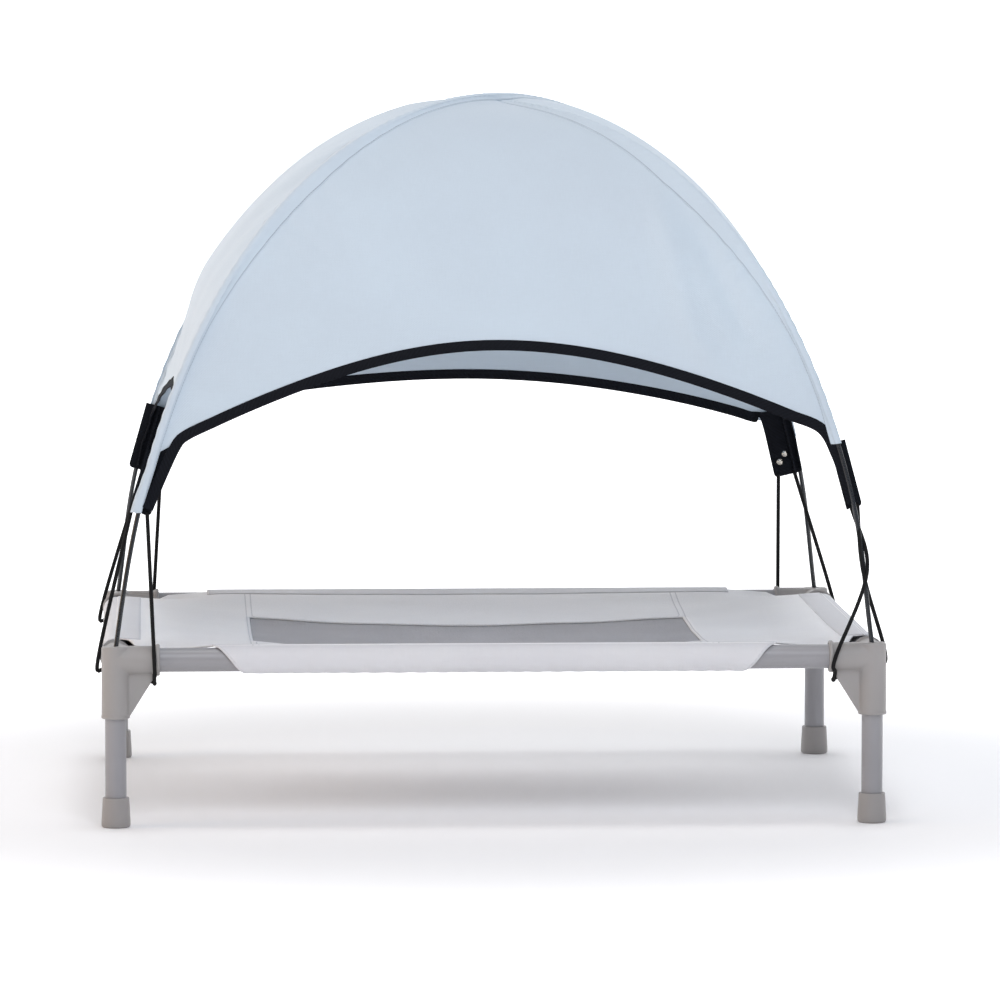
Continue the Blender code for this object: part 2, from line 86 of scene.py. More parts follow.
def startMaterial(name, look):
    # a Principled shader with its constant sockets set straight on it
    mat = bpy.data.materials.new(name)
    mat.use_nodes = True
    tree = mat.node_tree
    shader = tree.nodes["Principled BSDF"]
    shader.inputs["Base Color"].default_value = linear(look["color"])
    for socket in ("Roughness", "Metallic", "IOR", "Sheen Weight", "Sheen Roughness",
                   "Coat Weight", "Coat Roughness", "Specular IOR Level"):
        if socket in look:
            shader.inputs[socket].default_value = look[socket]
    return mat, tree, shader


def math2(tree, operation, a, b=0.0):
    return add(tree, "ShaderNodeMath", {0: a, 1: b}, operation=operation).outputs[0]


def uvPlace(tree, mapName):
    # a UV map's two coordinates, in metres
    return add(tree, "ShaderNodeSeparateXYZ", {0: add(tree, "ShaderNodeUVMap", uv_map=mapName).outputs[0]})


def mixColors(tree, factor, first, second):
    # a Mix node of two colours: its result is output 2
    return add(tree, "ShaderNodeMix", {"Factor": factor, 6: first, 7: second}, data_type="RGBA").outputs[2]


def addBump(tree, shader, height, strength, distance):
    bump = add(tree, "ShaderNodeBump", {"Height": height, "Strength": strength, "Distance": distance})
    tree.links.new(bump.outputs[0], shader.inputs["Normal"])


# woven cloth: polyester plain weave, two crossing sets of threads, matt with a faint sheen

def wovenCloth(name, look):
    # threads run along u and v of a UV map in metres; each set is a sine of its own coordinate,
    # and the two take turns on top, as warp and weft do
    mat, tree, shader = startMaterial(name, look)
    uv = add(tree, "ShaderNodeUVMap", uv_map="cloth").outputs[0]
    split = add(tree, "ShaderNodeSeparateXYZ", {0: uv})
    turns = 2 * math.pi / look["threadMm"] * 1000
    warp = math2(tree, "SINE", math2(tree, "MULTIPLY", split.outputs[0], turns))
    weft = math2(tree, "SINE", math2(tree, "MULTIPLY", split.outputs[1], turns))
    weave = math2(tree, "MULTIPLY", warp, weft)
    slubs = []
    for stretch in ((1000, 90, 1), (90, 1000, 1)):    # long thin flecks along each set of threads
        size = tuple(value / look["slubMm"] if value > 1 else 1 for value in stretch)
        slubs.append(add(tree, "ShaderNodeTexNoise", {
            "Vector": add(tree, "ShaderNodeMapping", {0: uv, 3: size}).outputs[0],
            "Scale": 1.0, "Detail": 2.0}).outputs[0])
    threads = math2(tree, "ADD", *slubs)
    place = add(tree, "ShaderNodeTexCoord").outputs["Object"]
    cloud = add(tree, "ShaderNodeTexNoise", {
        "Vector": place, "Scale": look["cloudPerM"], "Detail": 3.0, "Roughness": 0.55})
    shade = math2(tree, "MULTIPLY", weave, look["weaveShade"])
    total = math2(tree, "ADD", shade, math2(
        tree, "MULTIPLY", math2(tree, "SUBTRACT", threads, 1.0), look["slubShade"]))
    drift = add(tree, "ShaderNodeMapRange", {0: cloud.outputs[0], 1: 0.35, 2: 0.65}).outputs[0]
    tinted = mixColors(tree, drift, linear(look["color"]), linear(look["cloudColor"]))
    lit = add(tree, "ShaderNodeVectorMath", {0: tinted, 3: math2(tree, "ADD", total, 1.0)}, operation="SCALE")
    color = lit.outputs[0]
    if "seams" in look:
        color = seamColor(tree, color, look["seams"])
    tree.links.new(color, shader.inputs["Base Color"])
    relief = math2(tree, "ADD", weave, math2(tree, "MULTIPLY", threads, 1.4))
    addBump(tree, shader, relief, look["bump"], look["threadMm"] / 4000)
    return mat


def seamColor(tree, color, seam):
    # stitch lines at given distances along v of the second UV map: dashes with gaps between
    lines = uvPlace(tree, "seam")
    dash = math2(tree, "FRACT", math2(tree, "MULTIPLY", lines.outputs[0], 1000 / seam["pitchMm"]))
    on = math2(tree, "LESS_THAN", dash, seam["share"])
    off = math2(tree, "ABSOLUTE", math2(tree, "SUBTRACT", lines.outputs[1], seam["atMm"] / 1000))
    line = add(tree, "ShaderNodeMapRange", {
        0: off, 1: seam["wideMm"] / 2000, 2: seam["wideMm"] / 900, 3: 1.0, 4: 0.0}).outputs[0]
    # the gaps between stitches keep 0.4 of their colour, as the needle's groove does
    dashed = math2(tree, "MULTIPLY", line, math2(tree, "ADD", math2(tree, "MULTIPLY", on, 0.6), 0.4))
    return mixColors(tree, dashed, color, linear(seam["color"]))


def speckled(name, look):
    # moulded or coated surfaces: a fine grain for the bump, and a slow drift of the colour
    mat, tree, shader = startMaterial(name, look)
    place = add(tree, "ShaderNodeTexCoord").outputs["Object"]
    grain = add(tree, "ShaderNodeTexNoise", {
        "Vector": place, "Scale": 1000 / look["grainMm"], "Detail": 2.0})
    drift = add(tree, "ShaderNodeTexNoise", {"Vector": place, "Scale": 9.0, "Detail": 3.0})
    slow = add(tree, "ShaderNodeMapRange", {0: drift.outputs[0], 1: 0.3, 2: 0.7}).outputs[0]
    mixed = mixColors(tree, slow, linear(look["color"]), linear(look["driftColor"]))
    tree.links.new(mixed, shader.inputs["Base Color"])
    rough = add(tree, "ShaderNodeMapRange", {
        0: grain.outputs[0], 3: look["Roughness"] - 0.06, 4: look["Roughness"] + 0.06})
    tree.links.new(rough.outputs[0], shader.inputs["Roughness"])
    addBump(tree, shader, grain.outputs[0], look["bump"], look["grainMm"] / 3000)
    return mat


def diagonalWeave(name, look):
    # narrow woven tape or braided elastic: a slanted sine across a UV map in metres
    mat, tree, shader = startMaterial(name, look)
    split = uvPlace(tree, "cloth")
    turns = 2 * math.pi / look["threadMm"] * 1000
    first = math2(tree, "ADD", split.outputs[0], split.outputs[1])
    second = math2(tree, "SUBTRACT", split.outputs[0], split.outputs[1])
    one = math2(tree, "SINE", math2(tree, "MULTIPLY", first, turns))
    two = math2(tree, "SINE", math2(tree, "MULTIPLY", second, turns * look["cross"]))
    height = math2(tree, "MAXIMUM", one, two)
    raised = add(tree, "ShaderNodeMapRange", {0: height, 1: -1.0, 2: 1.0}).outputs[0]
    mixed = mixColors(tree, raised, linear(look["darkColor"]), linear(look["color"]))
    tree.links.new(mixed, shader.inputs["Base Color"])
    addBump(tree, shader, height, look["bump"], look["threadMm"] / 5000)
    return mat


# coated polyester: threads 0.5 mm apart are too fine to show, so they are drawn at 1.6 mm
canopyLook = {
    "color": "c2cfda", "cloudColor": "bfcbd6", "Roughness": 0.62, "Sheen Weight": 0.15,
    "Sheen Roughness": 0.4, "threadMm": 1.6, "slubMm": 1.1, "cloudPerM": 5.0,
    "weaveShade": 0.02, "slubShade": 0.05, "bump": 0.25,
    "seams": {"atMm": 2.0, "pitchMm": 3.4, "share": 0.62, "wideMm": 0.9, "color": "8b97a6"},
}
# oxford cloth with a heavier thread: drawn at 1.8 mm
coverLook = {
    "color": "fafafb", "cloudColor": "f6f6f8", "Roughness": 0.8, "threadMm": 1.8, "slubMm": 1.4,
    "cloudPerM": 7.0, "weaveShade": 0.03, "slubShade": 0.05, "bump": 0.3,
    "seams": {"atMm": 3.0, "pitchMm": 4.0, "share": 0.65, "wideMm": 0.8, "color": "d0d0d5"},
}
canopyCloth = wovenCloth("coatedPolyester", canopyLook)
coverCloth = wovenCloth("oxfordPolyester", coverLook)
# the sleeves take the same oxford cloth a shade darker: painted shade for the strips that wrap round the
# rails, whose fronts and undersides face away from the light above
shadedSleeveCloth = wovenCloth("oxfordPolyesterPaintedShade", {**coverLook, "color": "dfdfe2", "cloudColor": "dbdbdf"})
# knitted mesh: open cells 2 mm across, drawn at 3 mm
meshCloth = wovenCloth("knittedMesh", {
    "color": "bbbabe", "cloudColor": "b3b2b6", "Roughness": 0.85, "threadMm": 3.0, "slubMm": 2.4,
    "cloudPerM": 9.0, "weaveShade": 0.30, "slubShade": 0.08, "bump": 0.6})
# polypropylene tape: matt twill ribs 1.2 mm apart
hemTape = diagonalWeave("polypropyleneTape", {
    "color": "10131b", "darkColor": "04050a", "Roughness": 0.9, "Specular IOR Level": 0.2,
    "threadMm": 1.6, "cross": 0.35, "bump": 0.5})
# braided polyester over rubber: dull, ribbed
loopElastic = diagonalWeave("braidedElastic", {
    "color": "121214", "darkColor": "060607", "Roughness": 0.8, "Specular IOR Level": 0.3,
    "threadMm": 1.8, "cross": 1.0, "bump": 0.6})
# pulled fibreglass rod: hard, smooth, with a thin gel coat
poleRod = speckled("pulledFibreglass", {
    "color": "14171c", "driftColor": "1c2128", "Roughness": 0.28, "Coat Weight": 0.4,
    "Coat Roughness": 0.15, "grainMm": 0.8, "bump": 0.1})
# moulded polypropylene: satin with a fine spark-eroded grain
mouldedPlastic = speckled("mouldedPolypropylene", {
    "color": "a29e9d", "driftColor": "9c9997", "Roughness": 0.48, "grainMm": 0.9, "bump": 0.18})
# powder-coated steel tube: satin, very faint orange peel
powderCoat = speckled("powderCoatedSteel", {
    "color": "9c9b9f", "driftColor": "979699", "Roughness": 0.36, "grainMm": 1.6, "bump": 0.08})
# nickel-plated steel: bright, slightly warm
nickelPlate = speckled("nickelPlatedSteel", {
    "color": "d9d4cb", "driftColor": "cfc9bf", "Roughness": 0.24, "Metallic": 1.0, "grainMm": 1.2,
    "bump": 0.05})
print("materials made")


# mesh helpers

def unit(vectors):
    return vectors / np.maximum(np.linalg.norm(vectors, axis=-1, keepdims=True), 1e-12)


def sideBySide(*parts):
    # arrays spread to one shape, as the last axis of one array
    return np.stack(np.broadcast_arrays(*parts), -1)


def eased(value):
    # 0 to 1 with a soft start and a soft end
    value = np.clip(value, 0, 1)
    return value * value * (3 - 2 * value)


def gridFaces(rows, cols, wrapCols=False):
    # quads of a rows by cols grid of points, closed round across its columns if asked
    down = np.arange(rows - 1)[:, None]
    across = np.arange(cols if wrapCols else cols - 1)[None, :]
    nextAcross = (across + 1) % cols
    quads = np.stack([
        down * cols + across, down * cols + nextAcross,
        (down + 1) * cols + nextAcross, (down + 1) * cols + across], axis=-1)
    return quads.reshape(-1, 4)


def tubeFaces(rings, count):
    # faces of a row of closed rings, each of count points, with a cap on the first and the last
    caps = [list(range(count))[::-1], list(range((rings - 1) * count, rings * count))]
    return gridFaces(rings, count, wrapCols=True).tolist() + caps


sharpDegrees = 40    # edges that turn by more than this are drawn sharp


def placed(name, data):
    # an object in the scene that shows this mesh, lamp or camera
    obj = bpy.data.objects.new(name, data)
    bpy.context.scene.collection.objects.link(obj)
    return obj


def makePiece(name, parts, material):
    # parts: dictionaries with points, faces and perhaps a uv for each point by map name
    points, faces, start = [], [], 0
    for part in parts:
        points.append(np.asarray(part["points"], float).reshape(-1, 3))
        faces += [[int(i) + start for i in face] for face in part["faces"]]
        start += len(points[-1])
    mesh = bpy.data.meshes.new(name)
    mesh.from_pydata(np.concatenate(points).tolist(), [], faces)
    corner = np.zeros(len(mesh.loops), np.int32)
    mesh.loops.foreach_get("vertex_index", corner)
    for mapName in ("cloth", "seam"):
        if all(mapName in part for part in parts):
            flat = np.concatenate([np.asarray(part[mapName], float).reshape(-1, 2) for part in parts])
            layer = mesh.uv_layers.new(name=mapName)
            layer.data.foreach_set("uv", flat[corner].astype(np.float32).ravel())
    mesh.validate()
    mesh.shade_smooth()
    mesh.set_sharp_from_angle(angle=math.radians(sharpDegrees))
    mesh.materials.append(material)
    return placed(name, mesh)


def makeSolid(name, parts, material):
    # a closed piece, with all its faces turned outwards
    obj = makePiece(name, parts, material)
    bm = bmesh.new()
    bm.from_mesh(obj.data)
    bmesh.ops.recalc_face_normals(bm, faces=bm.faces)
    bm.to_mesh(obj.data)
    bm.free()
    return obj


def settle(piece, body, node):
    # the body it moves with, and the node it stands for, which it hides; a loop that
    # stretches between two bodies has no body here
    if body:
        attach(piece, body)
    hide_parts(node)


def solidify(obj, thick):
    wall = obj.modifiers.new("thickness", "SOLIDIFY")
    wall.thickness = thick
    wall.offset = 0.0
    wall.use_even_offset = True


def applyModifiers(obj):
    graph = bpy.context.evaluated_depsgraph_get()
    made = bpy.data.meshes.new_from_object(obj.evaluated_get(graph))
    obj.modifiers.clear()
    obj.data = made


def turnedPart(profile, start, along, sides=48):
    # a profile of (radius, distance) turned round a line: the ring at each profile point
    along = unit(np.asarray(along, float))
    side = unit(np.cross(along, [0.31, 0.53, 0.79]))
    up = np.cross(along, side)
    angle = np.linspace(0, 2 * math.pi, sides, endpoint=False)
    ring = np.cos(angle)[:, None] * side + np.sin(angle)[:, None] * up
    profile = np.asarray(profile, float)
    points = (
        np.asarray(start, float) + profile[:, 1, None, None] * along
        + profile[:, 0, None, None] * ring)
    return {"points": points, "faces": tubeFaces(len(profile), sides)}


def arcSteps(centre, radius, startDeg, endDeg, count=5):
    # points of a quarter round, for the rounded edge of a turned profile
    angle = np.radians(np.linspace(startDeg, endDeg, count))
    return np.stack([centre[0] + radius * np.cos(angle), centre[1] + radius * np.sin(angle)], 1).tolist()


def pathFrames(path):
    # unit tangent of a path, and a side direction square to it that turns as little as it can
    tangent = unit(np.gradient(path, axis=0))
    side = np.zeros_like(path)
    current = np.array([0.2, 0.9, 0.1])
    for i, along in enumerate(tangent):
        current = unit(current - along * (current @ along))
        side[i] = current
    return tangent, side


def ropePart(path, radius, sides=12):
    # a round cord: a ring of points about each point of the path, closed by rounded ends
    tangent, side = pathFrames(path)
    up = np.cross(tangent, side)
    far = lengths(path)
    cap = np.sqrt(np.clip(1 - ((np.minimum(far, far[-1] - far) / radius) - 1).clip(-1, 0) ** 2, 0.02, 1))
    angle = np.linspace(0, 2 * math.pi, sides, endpoint=False)
    ring = np.cos(angle)[:, None] * side[:, None] + np.sin(angle)[:, None] * up[:, None]
    points = path[:, None] + radius * cap[:, None, None] * ring
    uv = sideBySide(far[:, None], radius * angle[None, :])
    return {"points": points, "faces": tubeFaces(len(path), sides), "cloth": uv}


def lengths(path):
    return np.concatenate([[0.0], np.cumsum(np.linalg.norm(np.diff(path, axis=0), axis=1))])


def stretchOf(path, start, end, step):
    # part of a path, in even steps of about this length
    far = lengths(path)
    at = np.linspace(start, end, max(3, int(round((end - start) / step)) + 1))
    return np.stack([np.interp(at, far, path[:, i]) for i in range(3)], 1)


def evenly(path, step):
    return stretchOf(path, 0, lengths(path)[-1], step)


def softly(points, count):
    # a smooth path through a few points: Catmull-Rom curves between each pair
    pts = np.array(points, float)
    ends = np.vstack([2 * pts[0] - pts[1], pts, 2 * pts[-1] - pts[-2]])
    t = np.linspace(0, 1, count, endpoint=False)[:, None]
    runs = [
        0.5 * (2 * b + (c - a) * t + (2 * a - 5 * b + 4 * c - d) * t ** 2 + (3 * b - a - 3 * c + d) * t ** 3)
        for a, b, c, d in zip(ends, ends[1:], ends[2:], ends[3:])]
    return np.vstack([*runs, pts[-1:]])


def smoothNoise(x, y, seed, scale):
    # a slow wave field from eight sines with fixed directions: the same each run
    rng = np.random.default_rng(seed)
    total = np.zeros(np.broadcast(x, y).shape)
    turns, phases, pitches = rng.uniform(0, math.pi, 8), rng.uniform(0, 6.28, 8), rng.uniform(0.6, 1.7, 8)
    for turn, phase, pitch in zip(turns, phases, pitches):
        along = x * math.cos(turn) + y * math.sin(turn)
        total = total + np.sin(along * 2 * math.pi * pitch / scale + phase)
    return total / 4


# the cot's frame

fittingShape = {
    "socketR": 0.0143, "socketBottom": 0.113, "armR": 0.0146, "armReach": 0.046,
    "flangeR": 0.0165, "flangeLong": 0.004, "boreR": 0.0129, "boreStart": 0.018,
    "webThick": 0.007, "voxel": 0.0009, "smoothRounds": 2,
}


def fittingParts(sx, sy):
    # upright socket and two level sockets, each a turned shape, and a triangular web below each arm
    s = fittingShape
    x, y = sx * legX, sy * legY
    high = fittingTop - s["socketBottom"]
    r = s["socketR"]
    upright = [(0.0001, high - 0.016), (0.0046, high - 0.016), (0.0046, high - 0.0006), (0.0052, high)]
    upright += arcSteps((r - 0.0022, high - 0.0022), 0.0022, 90, 0)
    upright += [(r, 0.004), (r + 0.0005, 0.003)] + arcSteps((r - 0.0005, 0.001), 0.001, 0, -90, 4)
    upright += [(legR + 0.0004, 0.0), (legR + 0.0004, 0.045), (0.0001, 0.045)]
    parts = [turnedPart(upright, (x, y, s["socketBottom"]), (0, 0, 1))]
    for dx, dy in ((-sx, 0), (0, -sy)):
        reach, a, f = s["armReach"], s["armR"], s["flangeR"]
        arm = [(0.0001, 0.0), (a, 0.0), (a, reach - s["flangeLong"] - 0.0008)]
        arm += arcSteps((f - 0.0008, reach - s["flangeLong"] + 0.0004), 0.0008, -90, 0, 3)
        arm += arcSteps((f - 0.0010, reach - 0.0010), 0.0010, 0, 90, 4)
        arm += [(s["boreR"], reach), (s["boreR"], s["boreStart"]), (0.0001, s["boreStart"])]
        parts.append(turnedPart(arm, (x, y, railZ), (dx, dy, 0)))
        low, under = s["socketBottom"] + 0.002, railZ - a
        outline = np.array([
            (0.009, low), (r - 0.0006, low), (r + 0.0008, low + 0.0010),
            (reach - s["flangeLong"] - 0.0008, under - 0.0018), (reach - s["flangeLong"], under + 0.0002),
            (reach - s["flangeLong"], under + 0.005), (0.009, under + 0.005)])
        half = s["webThick"] / 2
        layers = [
            np.stack([x + dx * outline[:, 0] - dy * w, y + dy * outline[:, 0] + dx * w, outline[:, 1]], 1)
            for w in (-half, half)]
        parts.append({"points": np.concatenate(layers), "faces": tubeFaces(2, len(outline))})
    return parts


def buildFittings():
    for corner, (sx, sy) in corners.items():
        raw = makeSolid("fitting_" + corner, fittingParts(sx, sy), mouldedPlastic)
        melt = raw.modifiers.new("blend", "REMESH")   # runs the shapes together with small fillets
        melt.mode = "VOXEL"
        melt.voxel_size = fittingShape["voxel"]
        ease = raw.modifiers.new("ease", "SMOOTH")
        ease.factor = 0.5
        ease.iterations = fittingShape["smoothRounds"]
        applyModifiers(raw)
        raw.data.shade_smooth()
        raw.data.materials.clear()
        raw.data.materials.append(mouldedPlastic)
        settle(raw, "cot", "corner_fitting_" + corner)
    print("corner fittings made")


tubeShape = {"wall": 0.0015, "bevel": 0.0005, "sides": 56}


def buildTubes():
    # each leg and rail is a hollow tube, its wall's section turned round the tube's own axis
    wall, bevel, sides = tubeShape["wall"], tubeShape["bevel"], tubeShape["sides"]
    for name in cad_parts:
        if not name.startswith(("leg_", "rail_")):
            continue
        low, high = (np.array(v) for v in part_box(name))
        axis = int(np.argmax(high - low))
        radius = (high - low)[(axis + 1) % 3] / 2
        start = (low + high) / 2
        start[axis] = low[axis]
        long = high[axis] - low[axis]
        section = [(radius - wall, bevel), (radius - bevel, 0), (radius, bevel), (radius, long - bevel),
                   (radius - bevel, long), (radius - wall, long - bevel)]
        part = turnedPart(section, start, np.eye(3)[axis], sides)
        # in place of the two end caps, the last ring joins the first: the tube's inner wall
        inside = np.concatenate([np.arange(sides) + (len(section) - 1) * sides, np.arange(sides)])
        part["faces"] = part["faces"][:-2] + inside[gridFaces(2, sides, wrapCols=True)].tolist()
        tube = makeSolid(name.replace("_", "Tube_", 1), [part], powderCoat)
        settle(tube, "cot", name)
    print("legs and rails made")


def buildFeet():
    bore, high = legR + 0.0003, 0.031
    profile = [(0.0001, 0.008), (bore, 0.008), (bore, high - 0.0005), (bore + 0.0006, high)]
    profile += arcSteps((0.0128, high - 0.0010), 0.0010, 90, 0, 4)
    profile += [(0.0142, 0.022), (0.0147, 0.013), (0.0150, 0.006)]
    profile += arcSteps((0.0124, 0.0026), 0.0026, 0, -90, 6)
    profile += [(0.0001, 0.0)]
    for corner, (sx, sy) in corners.items():
        solid = turnedPart(profile, (sx * legX, sy * legY, 0), (0, 0, 1), 56)
        foot = makeSolid("footCap_" + corner, [solid], mouldedPlastic)
        settle(foot, "cot", "foot_" + corner)
    print("feet made")


buildFittings()
buildTubes()
buildFeet()


# the bed's cloth

coverShape = {
    "sag": 0.029, "thick": 0.0012, "windowLeft": -0.2475, "windowRight": 0.2295, "windowY": 0.1300,
    "ripple": 0.0007, "meshOver": 0.008, "meshThick": 0.0009,
    "cornerDip": 0.009, "dipX": 0.345, "dipLong": 0.040, "dipY": 0.272, "dipDeep": 0.024,
    "sleeveR": 0.0141, "frontTopHalf": 0.2925, "frontLowHalf": 0.2545, "sideHalf": 0.2295, "hemIn": 0.026,
}


def coverZ(x, y):
    # level with the sleeves' tops at the rails, a shallow bowl between, with slight ripples; the free
    # edges across the corners droop
    c = coverShape
    bowl = np.clip(1 - (x / legX) ** 2, 0, 1) * np.clip(1 - (y / legY) ** 2, 0, 1)
    ripple = c["ripple"] * smoothNoise(x, y, 4, 0.16) * np.clip(bowl * 3, 0, 1)
    off = ((np.abs(x) - c["dipX"]) / c["dipLong"]) ** 2 + ((np.abs(y) - c["dipY"]) / c["dipDeep"]) ** 2
    dip = np.exp(-off)
    return railZ + c["sleeveR"] + 0.0006 - c["sag"] * bowl + ripple - c["cornerDip"] * dip


def coverHalfWidth(y):
    # half width of the flat cloth at a distance y from the middle, drawn in at the corners
    return np.interp(np.abs(y), [0, 0.2290, 0.2310, 0.2600, 0.2850, 0.2925, 0.2940, 0.31],
                     [legX, legX, 0.3800, 0.3720, 0.3440, 0.3360, 0.2925, 0.2925])


def buildCover():
    c = coverShape
    left, right, back = c["windowLeft"], c["windowRight"], c["windowY"]
    inner = np.linspace(left, right, 61)
    outer = np.linspace(0, 1, 25)[1:]
    steps = np.array([back, 0.2290, 0.2310, 0.2925, 0.2940])    # rows where the outline turns
    rows = np.unique(np.round(np.concatenate([np.linspace(-legY, legY, 91), -steps, steps]), 5))
    half = coverHalfWidth(rows)[:, None]
    wings = [left - outer[None, ::-1] * (half + left), right + outer[None, :] * (half - right)]
    x = np.concatenate([wings[0], np.broadcast_to(inner, (len(rows), 61)), wings[1]], axis=1)
    y = np.broadcast_to(rows[:, None], x.shape)
    points = np.stack([x, y, coverZ(x, y)], -1)
    faces = gridFaces(*x.shape)
    centres = points.reshape(-1, 3)[faces].mean(axis=1)
    window = (centres[:, 0] > left) & (centres[:, 0] < right) & (np.abs(centres[:, 1]) < back)
    flat = np.stack([x, y], -1)
    # the window's seams run on to the front and rear edges
    edge = np.minimum(np.abs(x - left), np.abs(x - right))
    edge = np.where((x > left) & (x < right), np.minimum(edge, np.abs(y) - back), edge)
    seam = np.stack([x + y, np.clip(edge, 0, 0.05)], -1)
    cover = makePiece("bedCoverCloth", [{
        "points": points, "faces": faces[~window].tolist(), "cloth": flat, "seam": seam}], coverCloth)
    bm = bmesh.new()
    bm.from_mesh(cover.data)
    bmesh.ops.delete(bm, geom=[v for v in bm.verts if not v.link_faces], context="VERTS")
    bm.to_mesh(cover.data)
    bm.free()
    solidify(cover, c["thick"])
    settle(cover, "cot", "bed_cover")
    over = c["meshOver"]
    u = np.linspace(left - over, right + over, 90)
    v = np.linspace(-back - over, back + over, 60)
    x, y = np.meshgrid(u, v)
    z = coverZ(x, y) - 0.0013
    panel = makePiece("bedMeshPanel", [{
        "points": np.stack([x, y, z], -1), "faces": gridFaces(*x.shape).tolist(),
        "cloth": np.stack([x, y], -1)}], meshCloth)
    solidify(panel, c["meshThick"])
    settle(panel, "cot", "bed_mesh_panel")
    print("bed cover and mesh made")


leadCount = 8     # points in each straight stretch of a sleeve's section
wrapCount = 44    # and in its round stretch


def sleeveSection():
    # the strip's way round a rail, as (inward, up) from the rail's axis: flat on the panel, over the
    # top, round outside and below, then straight up to the panel's underside
    r, topIn = coverShape["sleeveR"], coverShape["hemIn"]
    angle = np.radians(np.linspace(90, 315, wrapCount))
    wrap = np.stack([r * np.cos(angle), r * np.sin(angle)], 1)
    lead = np.stack([np.linspace(topIn, 0.002, leadCount), np.full(leadCount, r)], 1)
    tail = np.stack([np.linspace(wrap[-1, 0], topIn, leadCount),
                     np.linspace(wrap[-1, 1], r - 0.006, leadCount)], 1)[1:]
    return np.concatenate([lead, wrap, tail])


def buildSleeve(side):
    # a grid: rows go round the rail along sleeveSection, columns run along the rail
    c = coverShape
    section = sleeveSection()
    last = len(section) - leadCount    # the row where the strip leaves the rail again
    row = np.arange(len(section))[:, None]
    angle = np.arctan2(section[:, 1], section[:, 0])
    turn = np.where(angle > math.pi / 2, angle, np.where(angle < 0, angle + 2 * math.pi, math.pi / 2))
    share = np.clip((turn - math.pi / 2) / math.pi, 0, 1)
    along = np.linspace(-1, 1, 140)
    longSide = side in ("front", "rear")
    if longSide:
        half = c["frontTopHalf"] + (c["frontLowHalf"] - c["frontTopHalf"]) * share
    else:
        half = np.full(len(section), c["sideHalf"]) - 0.006 * share
    place = along[None, :] * half[:, None]
    inward = np.broadcast_to(section[:, 0, None], place.shape)
    sign = {"front": -1, "rear": 1, "left": -1, "right": 1}[side]
    if longSide:
        x, y = place, sign * (legY - inward)
    else:
        x, y = sign * (legX - inward), place
    z = railZ + section[:, 1, None] + 0 * place
    # its two edges lie on and under the flat cloth
    flatZ = coverZ(x, y)
    z = np.where((row < leadCount) & (inward > 0), flatZ + 0.0008, z)
    leaves = railZ + section[last, 1]
    depth = (row - last).clip(0, leadCount - 1) / (leadCount - 1)
    z = np.where(row > last, leaves + (flatZ - 0.0016 - leaves) * depth, z)
    pucker = 0.0004 * np.sin(place * 2 * math.pi / 0.021 + 1.3 * np.sin(place * 31))
    edge = np.exp(-((1 - np.abs(along)) * 9)[None, :])
    swell = 0.0012 * edge * np.sin(math.pi * share)[:, None]
    outwards = np.where(share > 0, 1.0, 0.0)[:, None] * (swell + pucker * 0.6)
    z = z + np.sin(turn)[:, None] * outwards
    out = np.cos(turn)[:, None] * outwards
    if longSide:
        y = y - sign * out
    else:
        x = x - sign * out
    far = lengths(section)
    flat = sideBySide(place, far[:, None])
    seam = sideBySide(far[:, None], half[:, None] - np.abs(place))
    strip = makePiece("coverSleeve_" + side, [{
        "points": np.stack([x, y, z], -1), "faces": gridFaces(*place.shape).tolist(),
        "cloth": flat, "seam": seam}], shadedSleeveCloth)
    solidify(strip, c["thick"] * 0.8)
    settle(strip, "cot", "cover_sleeve_" + side)


buildCover()
for side in ("front", "rear", "left", "right"):
    buildSleeve(side)
print("cover sleeves made")


# the canopy's poles: a cubic curve in an upright plane from each foot to the crossing

poleShape = {
    "radius": 0.0025, "baseZ": 0.190, "setIn": 0.0013, "lean": 0.168, "rise": 0.505,
    "crown": 0.108, "apexZ": 0.7435, "apexX": 0.018, "crossHalf": 0.0042, "setDown": 0.0145,
}
poleSpread = {"front_left": 0.0030, "front_right": 0.0105, "rear_left": 0.0085, "rear_right": 0.0080}


def poleHalf(corner, t):
    # t = 0 at the foot, 1 at the crossing; works on an array of t of any shape. The loops pull each
    # pocket outwards just above its foot, so the pole leaves its cubic by spread * (1 - e^(-(t/.07)^2))
    p = poleShape
    sx, sy = corners[corner]
    t = np.asarray(t, float)[..., None]
    base = math.hypot(legX, legY)
    foot = np.array([base - p["setIn"], p["baseZ"]])
    rise = foot + p["rise"] * np.array([-math.sin(p["lean"]), math.cos(p["lean"])])
    top = np.array([0.0, p["apexZ"] + p["crossHalf"] * (1 if sx == sy else -1)])
    crown = top + np.array([p["crown"], 0.0])
    flat = (1 - t) ** 3 * foot + 3 * t * (1 - t) ** 2 * rise + 3 * t ** 2 * (1 - t) * crown + t ** 3 * top
    bow = poleSpread[corner] * (1 - np.exp(-(t[..., 0] / 0.07) ** 2)) * (1 - t[..., 0] ** 2)
    share = (flat[..., 0] + bow) / base
    return np.stack([
        sx * share * legX + p["apexX"] * (1 - share), sy * share * legY, flat[..., 1]], -1)


tableT = np.linspace(0, 1, 801)
heightTable = {corner: poleHalf(corner, tableT)[:, 2] for corner in corners}


def tAtHeight(corner, z):
    return np.interp(z, heightTable[corner], tableT)


def poleLine(first, second):
    # from inside one fitting's hole, over the crossing, to inside the far fitting's hole
    t = np.linspace(0, 1, 160)
    up, down = poleHalf(first, t), poleHalf(second, t)[::-1]
    start = up[0] + unit(up[0] - up[1]) * poleShape["setDown"]
    end = down[-1] + unit(down[-1] - down[-2]) * poleShape["setDown"]
    return np.vstack([start, up, down[1:], end])


# each pole's letter, the corner it starts from and the corner it ends in
polePairs = (("a", "front_left", "rear_right"), ("b", "front_right", "rear_left"))


